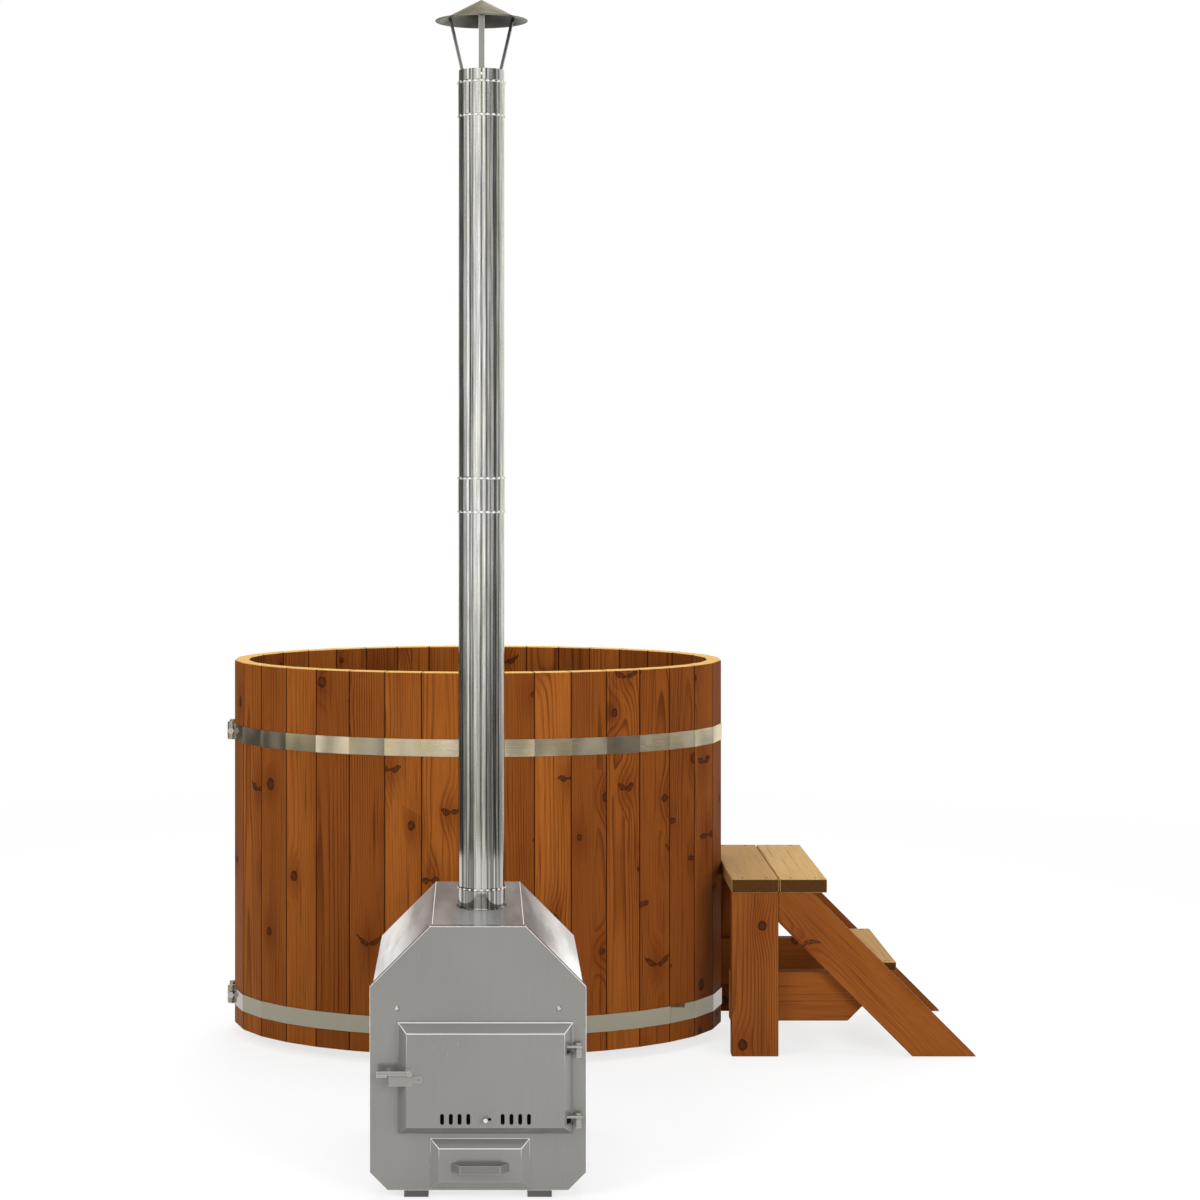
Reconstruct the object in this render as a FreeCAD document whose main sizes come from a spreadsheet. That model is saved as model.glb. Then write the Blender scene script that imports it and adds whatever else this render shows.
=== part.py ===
import FreeCAD, Part
import math
import os
import re

import Sketcher
from FreeCAD import Vector

# Oval stave hot tub with an outside wood stove, chimney and steps.
# Origin: middle of the tub, on the ground. +Z up, stove towards -Y, steps on +X.
SIZES = {
    # Tub: staves, floor and what carries it
    "tub_length": 1490,
    "tub_width": 980,
    "stave_count": 36,
    "stave_thickness": 42,
    "stave_length": 1110,
    "stave_lift": 30,
    "stave_bevel": 2.5,
    "stave_joint": 0.1,
    "croze_depth": 12,
    "floor_height": 90,
    "floor_thickness": 28,
    "floor_play": 0.3,
    "floor_board": 118,
    "board_joint": 0.2,
    "bearer_width": 70,
    "bearer_pitch": 430,
    "bearer_setback": 90,
    # Bench at both ends of the tub
    "seat_height": 500,
    "seat_reach": 310,
    "seat_thickness": 28,
    "seat_boards": 3,
    "seat_slit": 8,
    "seat_play": 0.5,
    "leg_thickness": 45,
    "leg_width": 120,
    "leg_spread": 300,
    "cleat_height": 60,
    "cleat_width": 90,
    # Hoops and their screw lugs
    "upper_hoop_height": 922,
    "lower_hoop_height": 112,
    "hoop_width": 50,
    "hoop_thickness": 2,
    "hoop_play": 0.1,
    "lug_gap": 62,
    "barrel_radius": 10,
    "barrel_length": 54,
    "barrel_play": 0.2,
    "hoop_bolt_radius": 5,
    "hoop_bolt_length": 120,
    "hoop_bolt_across": 17,
    "hoop_nut_height": 8,
    "bolt_play": 0.3,
    # Water fittings and hoses between tub and stove
    "port_low": 215,
    "port_high": 450,
    "port_radius": 24,
    "port_bore": 20,
    "port_play": 0.3,
    "port_flange_radius": 44,
    "port_flange_height": 6,
    "gasket_height": 3,
    "port_reach": 95,
    "locknut_across": 72,
    "locknut_height": 14,
    "hose_wall": 6,
    "hose_grip": 55,
    "clamp_width": 12,
    "clamp_thickness": 1.5,
    "clamp_housing": 16,
    # Drain with its ball valve, at the back
    "drain_height": 160,
    "drain_radius": 16,
    "drain_bore": 11,
    "drain_flange_radius": 32,
    "drain_reach": 40,
    "drain_nut_across": 46,
    "drain_nut_height": 10,
    "valve_radius": 24,
    "valve_length": 70,
    "valve_wall": 6,
    "ball_radius": 15,
    "ball_play": 0.3,
    "stem_radius": 5,
    "stem_play": 0.05,
    "gland_radius": 11,
    "gland_height": 14,
    "handle_length": 95,
    "handle_width": 18,
    "handle_thickness": 4,
    "tail_radius": 13,
    "tail_wall": 5,
    "tail_length": 45,
    # Stove casing
    "stove_gap": 640,
    "stove_depth": 640,
    "panel_width": 520,
    "panel_height": 633,
    "panel_foot": 16,
    "panel_shoulder": 144.5,
    "panel_toe": 43,
    "panel_sheet": 2,
    "panel_rim": 26,
    "shell_inset": 2.3,
    "shell_tuck": 3.7,
    "back_play": 0.3,
    "skid_width": 59,
    "skid_spread": 296,
    "skid_sheet": 3,
    "skid_play": 0.5,
    "screw_spread": 389,
    "screw_height": 453,
    "screw_radius": 6.5,
    "screw_crown": 4,
    "screw_dome": 4,
    # Firebox, water jacket, grate and ash drawer guides
    "fire_width": 400,
    "fire_floor": 165,
    "fire_height": 285,
    "fire_depth": 560,
    "fire_wall": 4,
    "jacket_water": 35,
    "jacket_wall": 3,
    "grate_width": 190,
    "grate_length": 300,
    "grate_thickness": 14,
    "grate_lap": 12,
    "grate_slits": 7,
    "grate_slit": 12,
    "guide_leg": 24,
    "guide_wall": 3,
    # Fire door with its air damper, hinges and latch
    "door_x": 18,
    "door_width": 421,
    "door_height": 267,
    "door_foot": 153,
    "door_bevel": 21.5,
    "door_depth": 30,
    "door_sheet": 2,
    "door_gap": 3,
    "mouth_width": 345,
    "mouth_height": 195,
    "liner_thickness": 4,
    "seal_margin": 4,
    "seal_width": 12,
    "seal_play": 0.3,
    "slot_count": 4,
    "slot_pitch": 20.9,
    "slot_width": 9.5,
    "slot_height": 26,
    "slot_foot": 182,
    "slot_offset": 41,
    "damper_thickness": 2,
    "damper_play": 0.3,
    "damper_margin": 4,
    "damper_travel": 10.5,
    "knob_radius": 7,
    "knob_neck": 5.5,
    "knob_crown": 5,
    "knob_stem_radius": 2,
    "knob_reach": 14,
    "hinge_x": 240,
    "hinge_upper": 366,
    "hinge_lower": 198,
    "hinge_radius": 4,
    "hinge_stand": 14,
    "hinge_barrel_radius": 8,
    "hinge_barrel_length": 24,
    "hinge_play": 0.05,
    "lug_plate": 5,
    "lug_depth": 18,
    "lug_inside": 32,
    "lug_end": 9,
    "notch_drop": 14,
    "notch_play": 0.5,
    "pin_head_radius": 6.5,
    "pin_head_height": 4,
    "latch_x": -165,
    "latch_height": 306,
    "latch_bolt_radius": 4,
    "latch_play": 0.05,
    "latch_bar_height": 9,
    "latch_bar_thickness": 6,
    "latch_reach": 77,
    "latch_eye": 7.5,
    "latch_plate_left": 48,
    "latch_plate_right": 31,
    "latch_plate_drop": 27.5,
    "latch_plate_sheet": 2,
    "latch_tab_drop": 23.5,
    "latch_tab_height": 16,
    "latch_tab_hole": 3,
    "latch_ear": 8.5,
    "keeper_width": 24,
    "keeper_thickness": 5,
    "keeper_play": 0.3,
    "bolt_head_radius": 5.5,
    "bolt_head_height": 4,
    # Ash drawer
    "ash_x": 5,
    "ash_width": 240,
    "ash_height": 122,
    "ash_foot": 20,
    "ash_bevel": 21.5,
    "ash_pan_depth": 18,
    "ash_gap": 0.5,
    "tray_width": 192,
    "tray_height": 74,
    "tray_length": 420,
    "tray_wall": 2,
    "tray_foot": 44,
    "tray_play": 0.3,
    "drawer_mouth_play": 4,
    "pull_width": 140,
    "pull_flat": 96,
    "pull_height": 20,
    "pull_foot": 66,
    "pull_reach": 26,
    "pull_strip": 3,
    "pull_slant": 4,
    # Flue and rain cap
    "flue_x": 9,
    "flue_setback": 285,
    "flue_radius": 57.5,
    "flue_wall": 1,
    "flue_fit": 0.3,
    "flue_lower": 935,
    "flue_pitch": 990.5,
    "flue_socket": 90,
    "flue_base_socket": 48,
    "bead_height": 2,
    "bead_width": 6,
    "collar_flange": 6,
    "collar_flange_height": 4,
    "cap_collar_height": 118,
    "cap_gap": 124.5,
    "cap_radius": 101,
    "cap_brim": 15,
    "cap_rise": 53,
    "cap_sheet": 1,
    "strap_count": 3,
    "strap_width": 15,
    "strap_sheet": 2,
    "strap_foot": 28,
    "strap_spread": 90,
    # Steps
    "step_gap": 1.5,
    "step_shift": -48,
    "step_length": 645,
    "platform_height": 522,
    "platform_width": 281,
    "board_thickness": 40,
    "top_boards": 2,
    "top_slit": 3,
    "post_width": 138,
    "post_thickness": 45,
    "stringer_head": 100,
    "stringer_drop": 88,
    "tread_width": 145,
    "tread_thickness": 26,
    "tread_nose": 40,
    "tread_play": 15,
    "rail_foot": 95,
    "rail_height": 145,
    "rail_reach": 395,
    "rail_cut": 47,
    "rail_thickness": 45,
}

doc = FreeCAD.newDocument("oval_hot_tub")
sheet = doc.addObject("Spreadsheet::Sheet", "sizes")
for row, (alias, number) in enumerate(SIZES.items(), start=1):
    sheet.set(f"A{row}", alias)
    sheet.set(f"B{row}", str(number))
    sheet.setAlias(f"B{row}", alias)
doc.recompute()

nodes = []
TURNS = {
    "Z": FreeCAD.Rotation(),
    "X": FreeCAD.Rotation(Vector(0, 1, 0), 90),
    "Y": FreeCAD.Rotation(Vector(1, 0, 0), -90),
    "-Y": FreeCAD.Rotation(Vector(1, 0, 0), 90),
}


# Shared ways of making a piece

def size(alias):
    return float(sheet.get(alias))


def formula(text):
    """A size formula with every size named through the sheet."""
    def named(word):
        return "sizes." + word[0] if word[0] in SIZES else word[0]

    return re.sub(r"\b[a-z]\w*\b", named, str(text))


def bind(piece, **formulas):
    for prop, text in formulas.items():
        piece.setExpression(prop, formula(text))
    return piece


def place(piece, x=0, y=0, z=0, along="Z"):
    piece.Placement = FreeCAD.Placement(Vector(), TURNS[along])
    for axis, text in zip("xyz", (x, y, z)):
        piece.setExpression(f"Placement.Base.{axis}", formula(text))
    return piece


def node(piece, label):
    """Keep a finished sub-part under the name of its file."""
    piece.Label = label
    nodes.append(piece)
    return piece


def block(length, width, height, x, y, z):
    box = doc.addObject("Part::Box", "block")
    return place(bind(box, Length=length, Width=width, Height=height), x, y, z)


def rod(radius, length, x, y, z, along="Z"):
    cylinder = doc.addObject("Part::Cylinder", "rod")
    return place(bind(cylinder, Radius=radius, Height=length), x, y, z, along)


def hexagon(across, height, x, y, z, along="Z"):
    prism = doc.addObject("Part::Prism", "hexagon")
    prism.Polygon = 6
    return place(bind(prism, Circumradius=f"({across}) / sqrt(3)", Height=height), x, y, z, along)


def join(*pieces):
    fuse = doc.addObject("Part::MultiFuse", "join")
    fuse.Shapes = list(pieces)
    fuse.Refine = True
    return fuse


def cut(base, *tools):
    trimmed = doc.addObject("Part::Cut", "cut")
    trimmed.Base = base
    trimmed.Tool = tools[0] if len(tools) == 1 else join(*tools)
    return trimmed


def group(*pieces):
    compound = doc.addObject("Part::Compound", "group")
    compound.Links = list(pieces)
    return compound


def shaped(shape):
    feature = doc.addObject("Part::Feature", "shaped")
    feature.Shape = shape
    return feature


def sketch_on(body, plane, outlines, offset=None):
    """A sketch of closed outlines; every corner is held at two size formulas."""
    sketch = body.newObject("Sketcher::SketchObject", "outline")
    support = next(item for item in body.Origin.OriginFeatures if item.Role == plane)
    sketch.AttachmentSupport = [(support, "")]
    sketch.MapMode = "FlatFace"
    if offset is not None:
        sketch.setExpression("AttachmentOffset.Base.z", formula(offset))
    for number, outline in enumerate(outlines, start=1):
        first = sketch.GeometryCount
        count = len(outline)
        turn = 2 * math.pi / count
        start = [Vector(math.cos(k * turn), math.sin(k * turn), 0) * number for k in range(count)]
        for k in range(count):
            sketch.addGeometry(Part.LineSegment(start[k], start[(k + 1) % count]))
        for k, (across, up) in enumerate(outline):
            after = first + (k + 1) % count
            sketch.addConstraint(Sketcher.Constraint("Coincident", first + k, 2, after, 1))
            for kind, text, now in (("DistanceX", across, start[k].x), ("DistanceY", up, start[k].y)):
                held = sketch.addConstraint(Sketcher.Constraint(kind, -1, 1, first + k, 1, now))
                sketch.setExpression(f"Constraints[{held}]", formula(text))
    return sketch


def padded(plane, outlines, length, x=0, y=0, z=0, flip=False):
    body = doc.addObject("PartDesign::Body", "padded")
    pad = body.newObject("PartDesign::Pad", "pad")
    pad.Profile = sketch_on(body, plane, outlines)
    pad.setExpression("Length", formula(length))
    pad.Reversed = flip
    return place(body, x, y, z)


def pocket(body, plane, outlines, length, offset=None, flip=False):
    cavity = sketch_on(body, plane, outlines, offset)
    hollow = body.newObject("PartDesign::Pocket", "pocket")
    hollow.Profile = cavity
    hollow.setExpression("Length", formula(length))
    hollow.Reversed = flip
    return body


def turned(outline, x=0, y=0, z=0, along="Z"):
    body = doc.addObject("PartDesign::Body", "turned")
    sketch = sketch_on(body, "XZ_Plane", [outline])
    spin = body.newObject("PartDesign::Revolution", "spin")
    spin.Profile = sketch
    spin.ReferenceAxis = (sketch, ["V_Axis"])
    spin.Angle = 360
    return place(body, x, y, z, along)


def rectangle(left, low, right, high):
    return [(left, low), (right, low), (right, high), (left, high)]


def tapered_pan(width, height, depth, bevel, wall, x, y, foot):
    """A sheet pan with sloping sides, open at the back (y), its face towards -Y."""
    shells = []
    for skin in ("0", wall):
        wedge = doc.addObject("Part::Wedge", "pan")
        side, rise = f"({width}) / 2 - {skin}", f"{foot} + {skin}"
        bind(wedge, Xmin=f"-({side})", Xmax=side, X2min=f"-({side}) + {bevel}", X2max=f"{side} - ({bevel})")
        bind(wedge, Zmin=rise, Zmax=f"{foot} + {height} - {skin}")
        bind(wedge, Z2min=f"{rise} + {bevel}", Z2max=f"{foot} + {height} - {skin} - ({bevel})")
        wedge.setExpression("Ymax", formula(f"{depth} - {skin}"))
        bind(wedge, Ymin="0")
        shells.append(wedge)
    # The wedge narrows along its own +Y, so it is turned half round to face -Y.
    for wedge in shells:
        wedge.Placement = FreeCAD.Placement(Vector(), FreeCAD.Rotation(Vector(0, 0, 1), 180))
        wedge.setExpression("Placement.Base.x", formula(x))
        wedge.setExpression("Placement.Base.y", formula(y))
    return cut(*shells)


# Tub: an oval ring of flat staves of equal width

def oval(offset=0.0):
    """Corners between the staves, moved outwards from the outer faces by offset."""
    count = int(size("stave_count"))
    half_x, half_y = size("tub_length") / 2, size("tub_width") / 2
    fine = 100 * count
    turns = [2 * math.pi * k / fine for k in range(fine + 1)]
    trace = [Vector(half_x * math.sin(turn), -half_y * math.cos(turn), 0) for turn in turns]
    along = [0.0]
    for before, after in zip(trace, trace[1:]):
        along.append(along[-1] + before.distanceToPoint(after))
    corners = []
    k = 0
    for stave in range(count):
        target = (stave + 0.5) * along[-1] / count
        while along[k + 1] < target:
            k += 1
        share = (target - along[k]) / (along[k + 1] - along[k])
        corners.append(trace[k] + (trace[k + 1] - trace[k]) * share)
    stretch_x = half_x / max(corner.x for corner in corners)
    stretch_y = half_y / max(corner.y for corner in corners)
    corners = [Vector(corner.x * stretch_x, corner.y * stretch_y, 0) for corner in corners]
    moved = []
    for k, corner in enumerate(corners):
        before = corner - corners[k - 1]
        after = corners[(k + 1) % count] - corner
        half_turn = before.getAngle(after) / 2
        tangent = before.normalize() + after.normalize()
        outward = Vector(tangent.y, -tangent.x, 0).normalize()
        moved.append(corner + outward * (offset / math.cos(half_turn)))
    return moved


def prism(corners, foot, height):
    lifted = [corner + Vector(0, 0, foot) for corner in corners]
    return Part.Face(Part.makePolygon(lifted + lifted[:1])).extrude(Vector(0, 0, height))


def toward(start, end, distance):
    return start + (end - start).normalize() * distance


outer = oval()
inner = oval(-size("stave_thickness"))
stave_count = int(size("stave_count"))
croze = prism(
    oval(size("croze_depth") - size("stave_thickness")), size("floor_height"), size("floor_thickness")
)
inside_wall = -size("stave_thickness") - size("seat_play")
end_wall = size("tub_length") / 2 + inside_wall
floor_top = size("floor_height") + size("floor_thickness")


def stave(number):
    """One stave: bevelled long edges and a groove across its foot for the floor."""
    bevel, gap = size("stave_bevel"), size("stave_joint") / 2
    face_a, face_b = outer[number - 1], outer[number]
    back_a, back_b = inner[number - 1], inner[number]
    face_a, face_b = toward(face_a, face_b, gap), toward(face_b, face_a, gap)
    back_a, back_b = toward(back_a, back_b, gap), toward(back_b, back_a, gap)
    profile = [
        toward(face_a, face_b, bevel),
        toward(face_b, face_a, bevel),
        toward(face_b, back_b, bevel),
        toward(back_b, face_b, bevel),
        toward(back_b, back_a, bevel),
        toward(back_a, back_b, bevel),
        toward(back_a, face_a, bevel),
        toward(face_a, back_a, bevel),
    ]
    return prism(profile, size("stave_lift"), size("stave_length")).cut(croze)


port_number, drain_number = 0, stave_count // 2
plain_staves = [stave(k) for k in range(stave_count) if k not in (port_number, drain_number)]
node(shaped(Part.makeCompound(plain_staves)), "staves")

# Where the main pieces stand, as size formulas

TUB_FRONT = "(-tub_width / 2)"
TUB_BACK = "(tub_width / 2)"
PORT_HEIGHTS = ("port_low", "port_high")
STOVE_BACK = f"({TUB_FRONT} - stove_gap)"
PANEL_Y = f"({STOVE_BACK} - stove_depth)"
FIRE_FRONT = f"({PANEL_Y} + panel_sheet)"
JACKET_DEPTH = "(fire_wall + fire_depth + fire_wall + jacket_water + jacket_wall)"
JACKET_BACK = f"({FIRE_FRONT} + {JACKET_DEPTH})"
NIPPLE_START = f"({JACKET_BACK} - jacket_wall)"

# Staves with the water ports and the drain hole

port_holes = [
    rod("port_radius + port_play", "3 * stave_thickness", 0, f"{TUB_FRONT} - stave_thickness", height, "Y")
    for height in PORT_HEIGHTS
]
node(cut(shaped(stave(port_number)), *port_holes), "port_stave")

drain_hole = rod("drain_radius + port_play", "3 * stave_thickness",
                 0, f"{TUB_BACK} - 2 * stave_thickness", "drain_height", "Y")
node(cut(shaped(stave(drain_number)), drain_hole), "drain_stave")

# Floor of loose boards in the staves' groove, on three bearers

floor_outline = oval(size("croze_depth") - size("stave_thickness") - size("floor_play"))
floor_disc = prism(floor_outline, size("floor_height"), size("floor_thickness") - size("floor_play"))
floor_half = max(corner.y for corner in floor_outline)
floor_rows = math.ceil(2 * floor_half / size("floor_board"))
floor_boards = []
for row in range(floor_rows):
    strip = Part.makeBox(
        size("tub_length"),
        size("floor_board") - size("board_joint"),
        size("floor_thickness"),
        Vector(-size("tub_length") / 2, (row - floor_rows / 2) * size("floor_board"), size("floor_height")),
    )
    floor_boards += floor_disc.common(strip).Solids
node(shaped(Part.makeCompound(floor_boards)), "floor_boards")

under_floor = prism(oval(inside_wall - size("bearer_setback")), 0, size("floor_height"))
bearers = []
for column in (-1, 0, 1):
    beam = Part.makeBox(
        size("bearer_width"),
        size("tub_width"),
        size("floor_height"),
        Vector(column * size("bearer_pitch") - size("bearer_width") / 2, -size("tub_width") / 2, 0),
    )
    bearers += under_floor.common(beam).Solids
node(shaped(Part.makeCompound(bearers)), "floor_bearers")

# Bench: boards across both ends, on legs at the front edge and a cleat at the wall

seat_foot = size("seat_height") - size("seat_thickness")
seat_room = prism(oval(inside_wall), seat_foot, size("seat_thickness"))
cleat_room = prism(oval(inside_wall), seat_foot - size("cleat_height"), size("cleat_height"))
board_pitch = size("seat_reach") / size("seat_boards")
seats, legs, cleats = [], [], []
for end in (-1, 1):
    for row in range(int(size("seat_boards"))):
        near = end_wall - size("seat_reach") + row * board_pitch
        width = board_pitch - size("seat_slit") if row < size("seat_boards") - 1 else board_pitch
        strip = Part.makeBox(width, size("tub_width"), size("seat_thickness"))
        left = near if end > 0 else -near - width
        strip.translate(Vector(left, -size("tub_width") / 2, seat_foot))
        seats += seat_room.common(strip).Solids
    for side in (-1, 1):
        leg_height = seat_foot - floor_top + size("floor_play")
        leg = Part.makeBox(size("leg_width"), size("leg_thickness"), leg_height)
        near = end_wall - size("seat_reach")
        left = near if end > 0 else -near - size("leg_width")
        middle = side * size("leg_spread") / 2 - size("leg_thickness") / 2
        leg.translate(Vector(left, middle, floor_top - size("floor_play")))
        legs.append(leg)
    cleat = Part.makeBox(size("cleat_width"), size("tub_width"), size("cleat_height"))
    left = end_wall - size("cleat_width") if end > 0 else -end_wall
    cleat.translate(Vector(left, -size("tub_width") / 2, seat_foot - size("cleat_height")))
    cleats += cleat_room.common(cleat).Solids
node(shaped(Part.makeCompound(seats)), "bench_boards")
node(shaped(Part.makeCompound(legs)), "bench_legs")
node(shaped(Part.makeCompound(cleats)), "bench_cleats")

# Hoops: flat band round the staves, its ends looped round the barrels of a screw lug

LOOP_RADIUS = "(barrel_radius + barrel_play + hoop_thickness)"
LUG_X = f"(-tub_length / 2 - hoop_play - {LOOP_RADIUS})"
HOOPS = ("upper_hoop_height", "lower_hoop_height")


def hoop(height):
    foot, width = size(height) - size("hoop_width") / 2, size("hoop_width")
    loop_in = size("barrel_radius") + size("barrel_play")
    loop_out = loop_in + size("hoop_thickness")
    lug_x = -size("tub_length") / 2 - size("hoop_play") - loop_out
    band = prism(oval(size("hoop_play") + size("hoop_thickness")), foot, width)
    band = band.cut(prism(oval(size("hoop_play")), foot, width))
    between = Part.makeBox(2 * loop_out, size("lug_gap"), width)
    between.translate(Vector(lug_x - loop_out, -size("lug_gap") / 2, foot))
    band = band.cut(between)
    for side in (-1, 1):
        centre = Vector(lug_x, side * size("lug_gap") / 2, foot)
        band = band.fuse(Part.makeCylinder(loop_out, width, centre))
    for side in (-1, 1):
        centre = Vector(lug_x, side * size("lug_gap") / 2, foot)
        band = band.cut(Part.makeCylinder(loop_in, width, centre))
    passage = size("hoop_bolt_radius") + size("bolt_play")
    start = Vector(lug_x, -size("lug_gap"), size(height))
    return band.cut(Part.makeCylinder(passage, 2 * size("lug_gap"), start, Vector(0, 1, 0)))


barrels, hoop_bolts, hoop_nuts = [], [], []
BOLT_START = f"(-lug_gap / 2 - {LOOP_RADIUS} - bolt_play)"
for label, height in zip(("upper_hoop", "lower_hoop"), HOOPS):
    node(shaped(hoop(height)), label)
    for side in ("-", ""):
        bar = rod("barrel_radius", "barrel_length",
                  LUG_X, f"{side}lug_gap / 2", f"{height} - barrel_length / 2")
        hole = rod("hoop_bolt_radius + bolt_play", "2 * lug_gap", LUG_X, "-lug_gap", height, "Y")
        barrels.append(cut(bar, hole))
    shank = rod("hoop_bolt_radius", "hoop_bolt_length", LUG_X, BOLT_START, height, "Y")
    head = hexagon("hoop_bolt_across", "hoop_nut_height",
                   LUG_X, f"{BOLT_START} - hoop_nut_height", height, "Y")
    hoop_bolts.append(join(shank, head))
    nut_y = f"-({BOLT_START})"
    nut = hexagon("hoop_bolt_across", "hoop_nut_height", LUG_X, nut_y, height, "Y")
    thread = rod("hoop_bolt_radius", "hoop_nut_height", LUG_X, nut_y, height, "Y")
    hoop_nuts.append(cut(nut, thread))
node(group(*barrels), "hoop_barrels")
node(group(*hoop_bolts), "hoop_bolts")
node(group(*hoop_nuts), "hoop_nuts")

# Water fittings through the front stave, hoses and their clamps

PORT_INSIDE = f"({TUB_FRONT} + stave_thickness)"
fittings, gaskets, locknuts, nipples, hoses, clamps = [], [], [], [], [], []
for height in PORT_HEIGHTS:
    through = "stave_thickness + gasket_height"
    fittings.append(turned([
        ("port_bore", 0),
        ("port_flange_radius", 0),
        ("port_flange_radius", "port_flange_height"),
        ("port_radius", "port_flange_height"),
        ("port_radius", f"port_flange_height + {through} + port_reach"),
        ("port_bore", f"port_flange_height + {through} + port_reach"),
    ], 0, f"{PORT_INSIDE} + gasket_height + port_flange_height", height, "-Y"))
    gaskets.append(turned([
        ("port_radius + port_play", 0),
        ("port_flange_radius", 0),
        ("port_flange_radius", "gasket_height"),
        ("port_radius + port_play", "gasket_height"),
    ], 0, f"{PORT_INSIDE} + gasket_height", height, "-Y"))
    nut = hexagon("locknut_across", "locknut_height", 0, f"{TUB_FRONT} - locknut_height", height, "Y")
    thread = rod("port_radius", "locknut_height", 0, f"{TUB_FRONT} - locknut_height", height, "Y")
    locknuts.append(cut(nut, thread))
    nipple_length = f"{STOVE_BACK} + port_reach - {NIPPLE_START}"
    stub = rod("port_radius", nipple_length, 0, NIPPLE_START, height, "Y")
    bore = rod("port_bore", nipple_length, 0, NIPPLE_START, height, "Y")
    nipples.append(cut(stub, bore))
    hose_start = f"({STOVE_BACK} + port_reach - hose_grip)"
    hose_end = f"({TUB_FRONT} - port_reach + hose_grip)"
    hose_length = f"{hose_end} - {hose_start}"
    skin = rod("port_radius + port_play + hose_wall", hose_length, 0, hose_start, height, "Y")
    bore = rod("port_radius + port_play", hose_length, 0, hose_start, height, "Y")
    hoses.append(cut(skin, bore))
    for clamp_y in (f"{hose_start} + clamp_width", f"{hose_end} - 2 * clamp_width"):
        hose_radius = "port_radius + port_play + hose_wall + port_play"
        ring = rod(f"{hose_radius} + clamp_thickness", "clamp_width", 0, clamp_y, height, "Y")
        screw_box = block(
            "clamp_housing", "clamp_width", "clamp_housing / 2", "-clamp_housing / 2", clamp_y,
            f"{height} + {hose_radius}",
        )
        opening = rod(hose_radius, "clamp_width", 0, clamp_y, height, "Y")
        clamps.append(cut(join(ring, screw_box), opening))
node(group(*fittings), "port_fittings")
node(group(*gaskets), "port_gaskets")
node(group(*locknuts), "port_locknuts")
node(group(*nipples), "stove_nipples")
node(group(*hoses), "water_hoses")
node(group(*clamps), "hose_clamps")

# Drain through the back stave: fitting, lock nut, ball valve, ball, lever and hose tail

DRAIN_INSIDE = f"({TUB_BACK} - stave_thickness)"
node(turned([
    ("drain_bore", 0),
    ("drain_flange_radius", 0),
    ("drain_flange_radius", "port_flange_height"),
    ("drain_radius", "port_flange_height"),
    ("drain_radius", "port_flange_height + stave_thickness + drain_reach"),
    ("drain_bore", "port_flange_height + stave_thickness + drain_reach"),
], 0, f"{DRAIN_INSIDE} - port_flange_height", "drain_height", "Y"), "drain_fitting")
drain_nut = hexagon("drain_nut_across", "drain_nut_height", 0, TUB_BACK, "drain_height", "Y")
drain_thread = rod("drain_radius", "drain_nut_height", 0, TUB_BACK, "drain_height", "Y")
node(cut(drain_nut, drain_thread), "drain_nut")

VALVE_Y = f"({TUB_BACK} + drain_reach)"
STEM_Y = f"({VALVE_Y} + valve_length / 2)"
CAVITY = "(ball_radius + ball_play)"
valve_body = turned([
    ("drain_bore", 0),
    ("drain_radius + valve_wall", 0),
    ("drain_radius + valve_wall", "valve_wall * 2"),
    ("valve_radius", "valve_wall * 3"),
    ("valve_radius", "valve_length - valve_wall * 3"),
    ("drain_radius + valve_wall", "valve_length - valve_wall * 2"),
    ("drain_radius + valve_wall", "valve_length"),
    ("drain_bore", "valve_length"),
    ("drain_bore", f"valve_length / 2 + {CAVITY}"),
    (CAVITY, f"valve_length / 2 + {CAVITY}"),
    (CAVITY, f"valve_length / 2 - {CAVITY}"),
    ("drain_bore", f"valve_length / 2 - {CAVITY}"),
], 0, VALVE_Y, "drain_height", "Y")
gland = rod("gland_radius", "valve_radius - ball_radius - ball_play + gland_height", 0, STEM_Y,
            f"drain_height + {CAVITY}")
stem_hole = rod("stem_radius + stem_play", "valve_radius + gland_height", 0, STEM_Y, "drain_height")
cavity_room = rod(CAVITY, f"2 * {CAVITY}", 0, f"{STEM_Y} - {CAVITY}", "drain_height", "Y")
node(cut(join(valve_body, gland), stem_hole, cavity_room), "drain_valve")

ball = doc.addObject("Part::Sphere", "ball")
place(bind(ball, Radius="ball_radius"), 0, STEM_Y, "drain_height", "X")
ball_bore = rod("drain_bore", "3 * ball_radius", "-1.5 * ball_radius", STEM_Y, "drain_height", "X")
node(cut(ball, ball_bore), "drain_ball")

GLAND_TOP = "(drain_height + valve_radius + gland_height)"
stem = rod("stem_radius", f"{GLAND_TOP} + ball_play - drain_height", 0, STEM_Y, "drain_height")
stem_seat = doc.addObject("Part::Sphere", "stem_seat")
place(bind(stem_seat, Radius=CAVITY), 0, STEM_Y, "drain_height", "X")
grip = block("handle_length", "handle_width", "handle_thickness", "-handle_width / 2",
             f"{STEM_Y} - handle_width / 2", f"{GLAND_TOP} + ball_play")
node(join(cut(stem, stem_seat), grip), "drain_lever")

TAIL_Y = f"({VALVE_Y} + valve_length)"
node(turned([
    ("tail_radius - tail_wall", 0),
    ("drain_radius + valve_wall", 0),
    ("drain_radius + valve_wall", "valve_wall"),
    ("tail_radius", "valve_wall"),
    ("tail_radius", "valve_wall + tail_length"),
    ("tail_radius - tail_wall", "valve_wall + tail_length"),
], 0, TAIL_Y, "drain_height", "Y"), "drain_tail")

# Stove casing: a folded eight-sided shell in the rim of a front pan, closed by a back pan

CASING_TOP = "(panel_foot + panel_height)"


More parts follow.
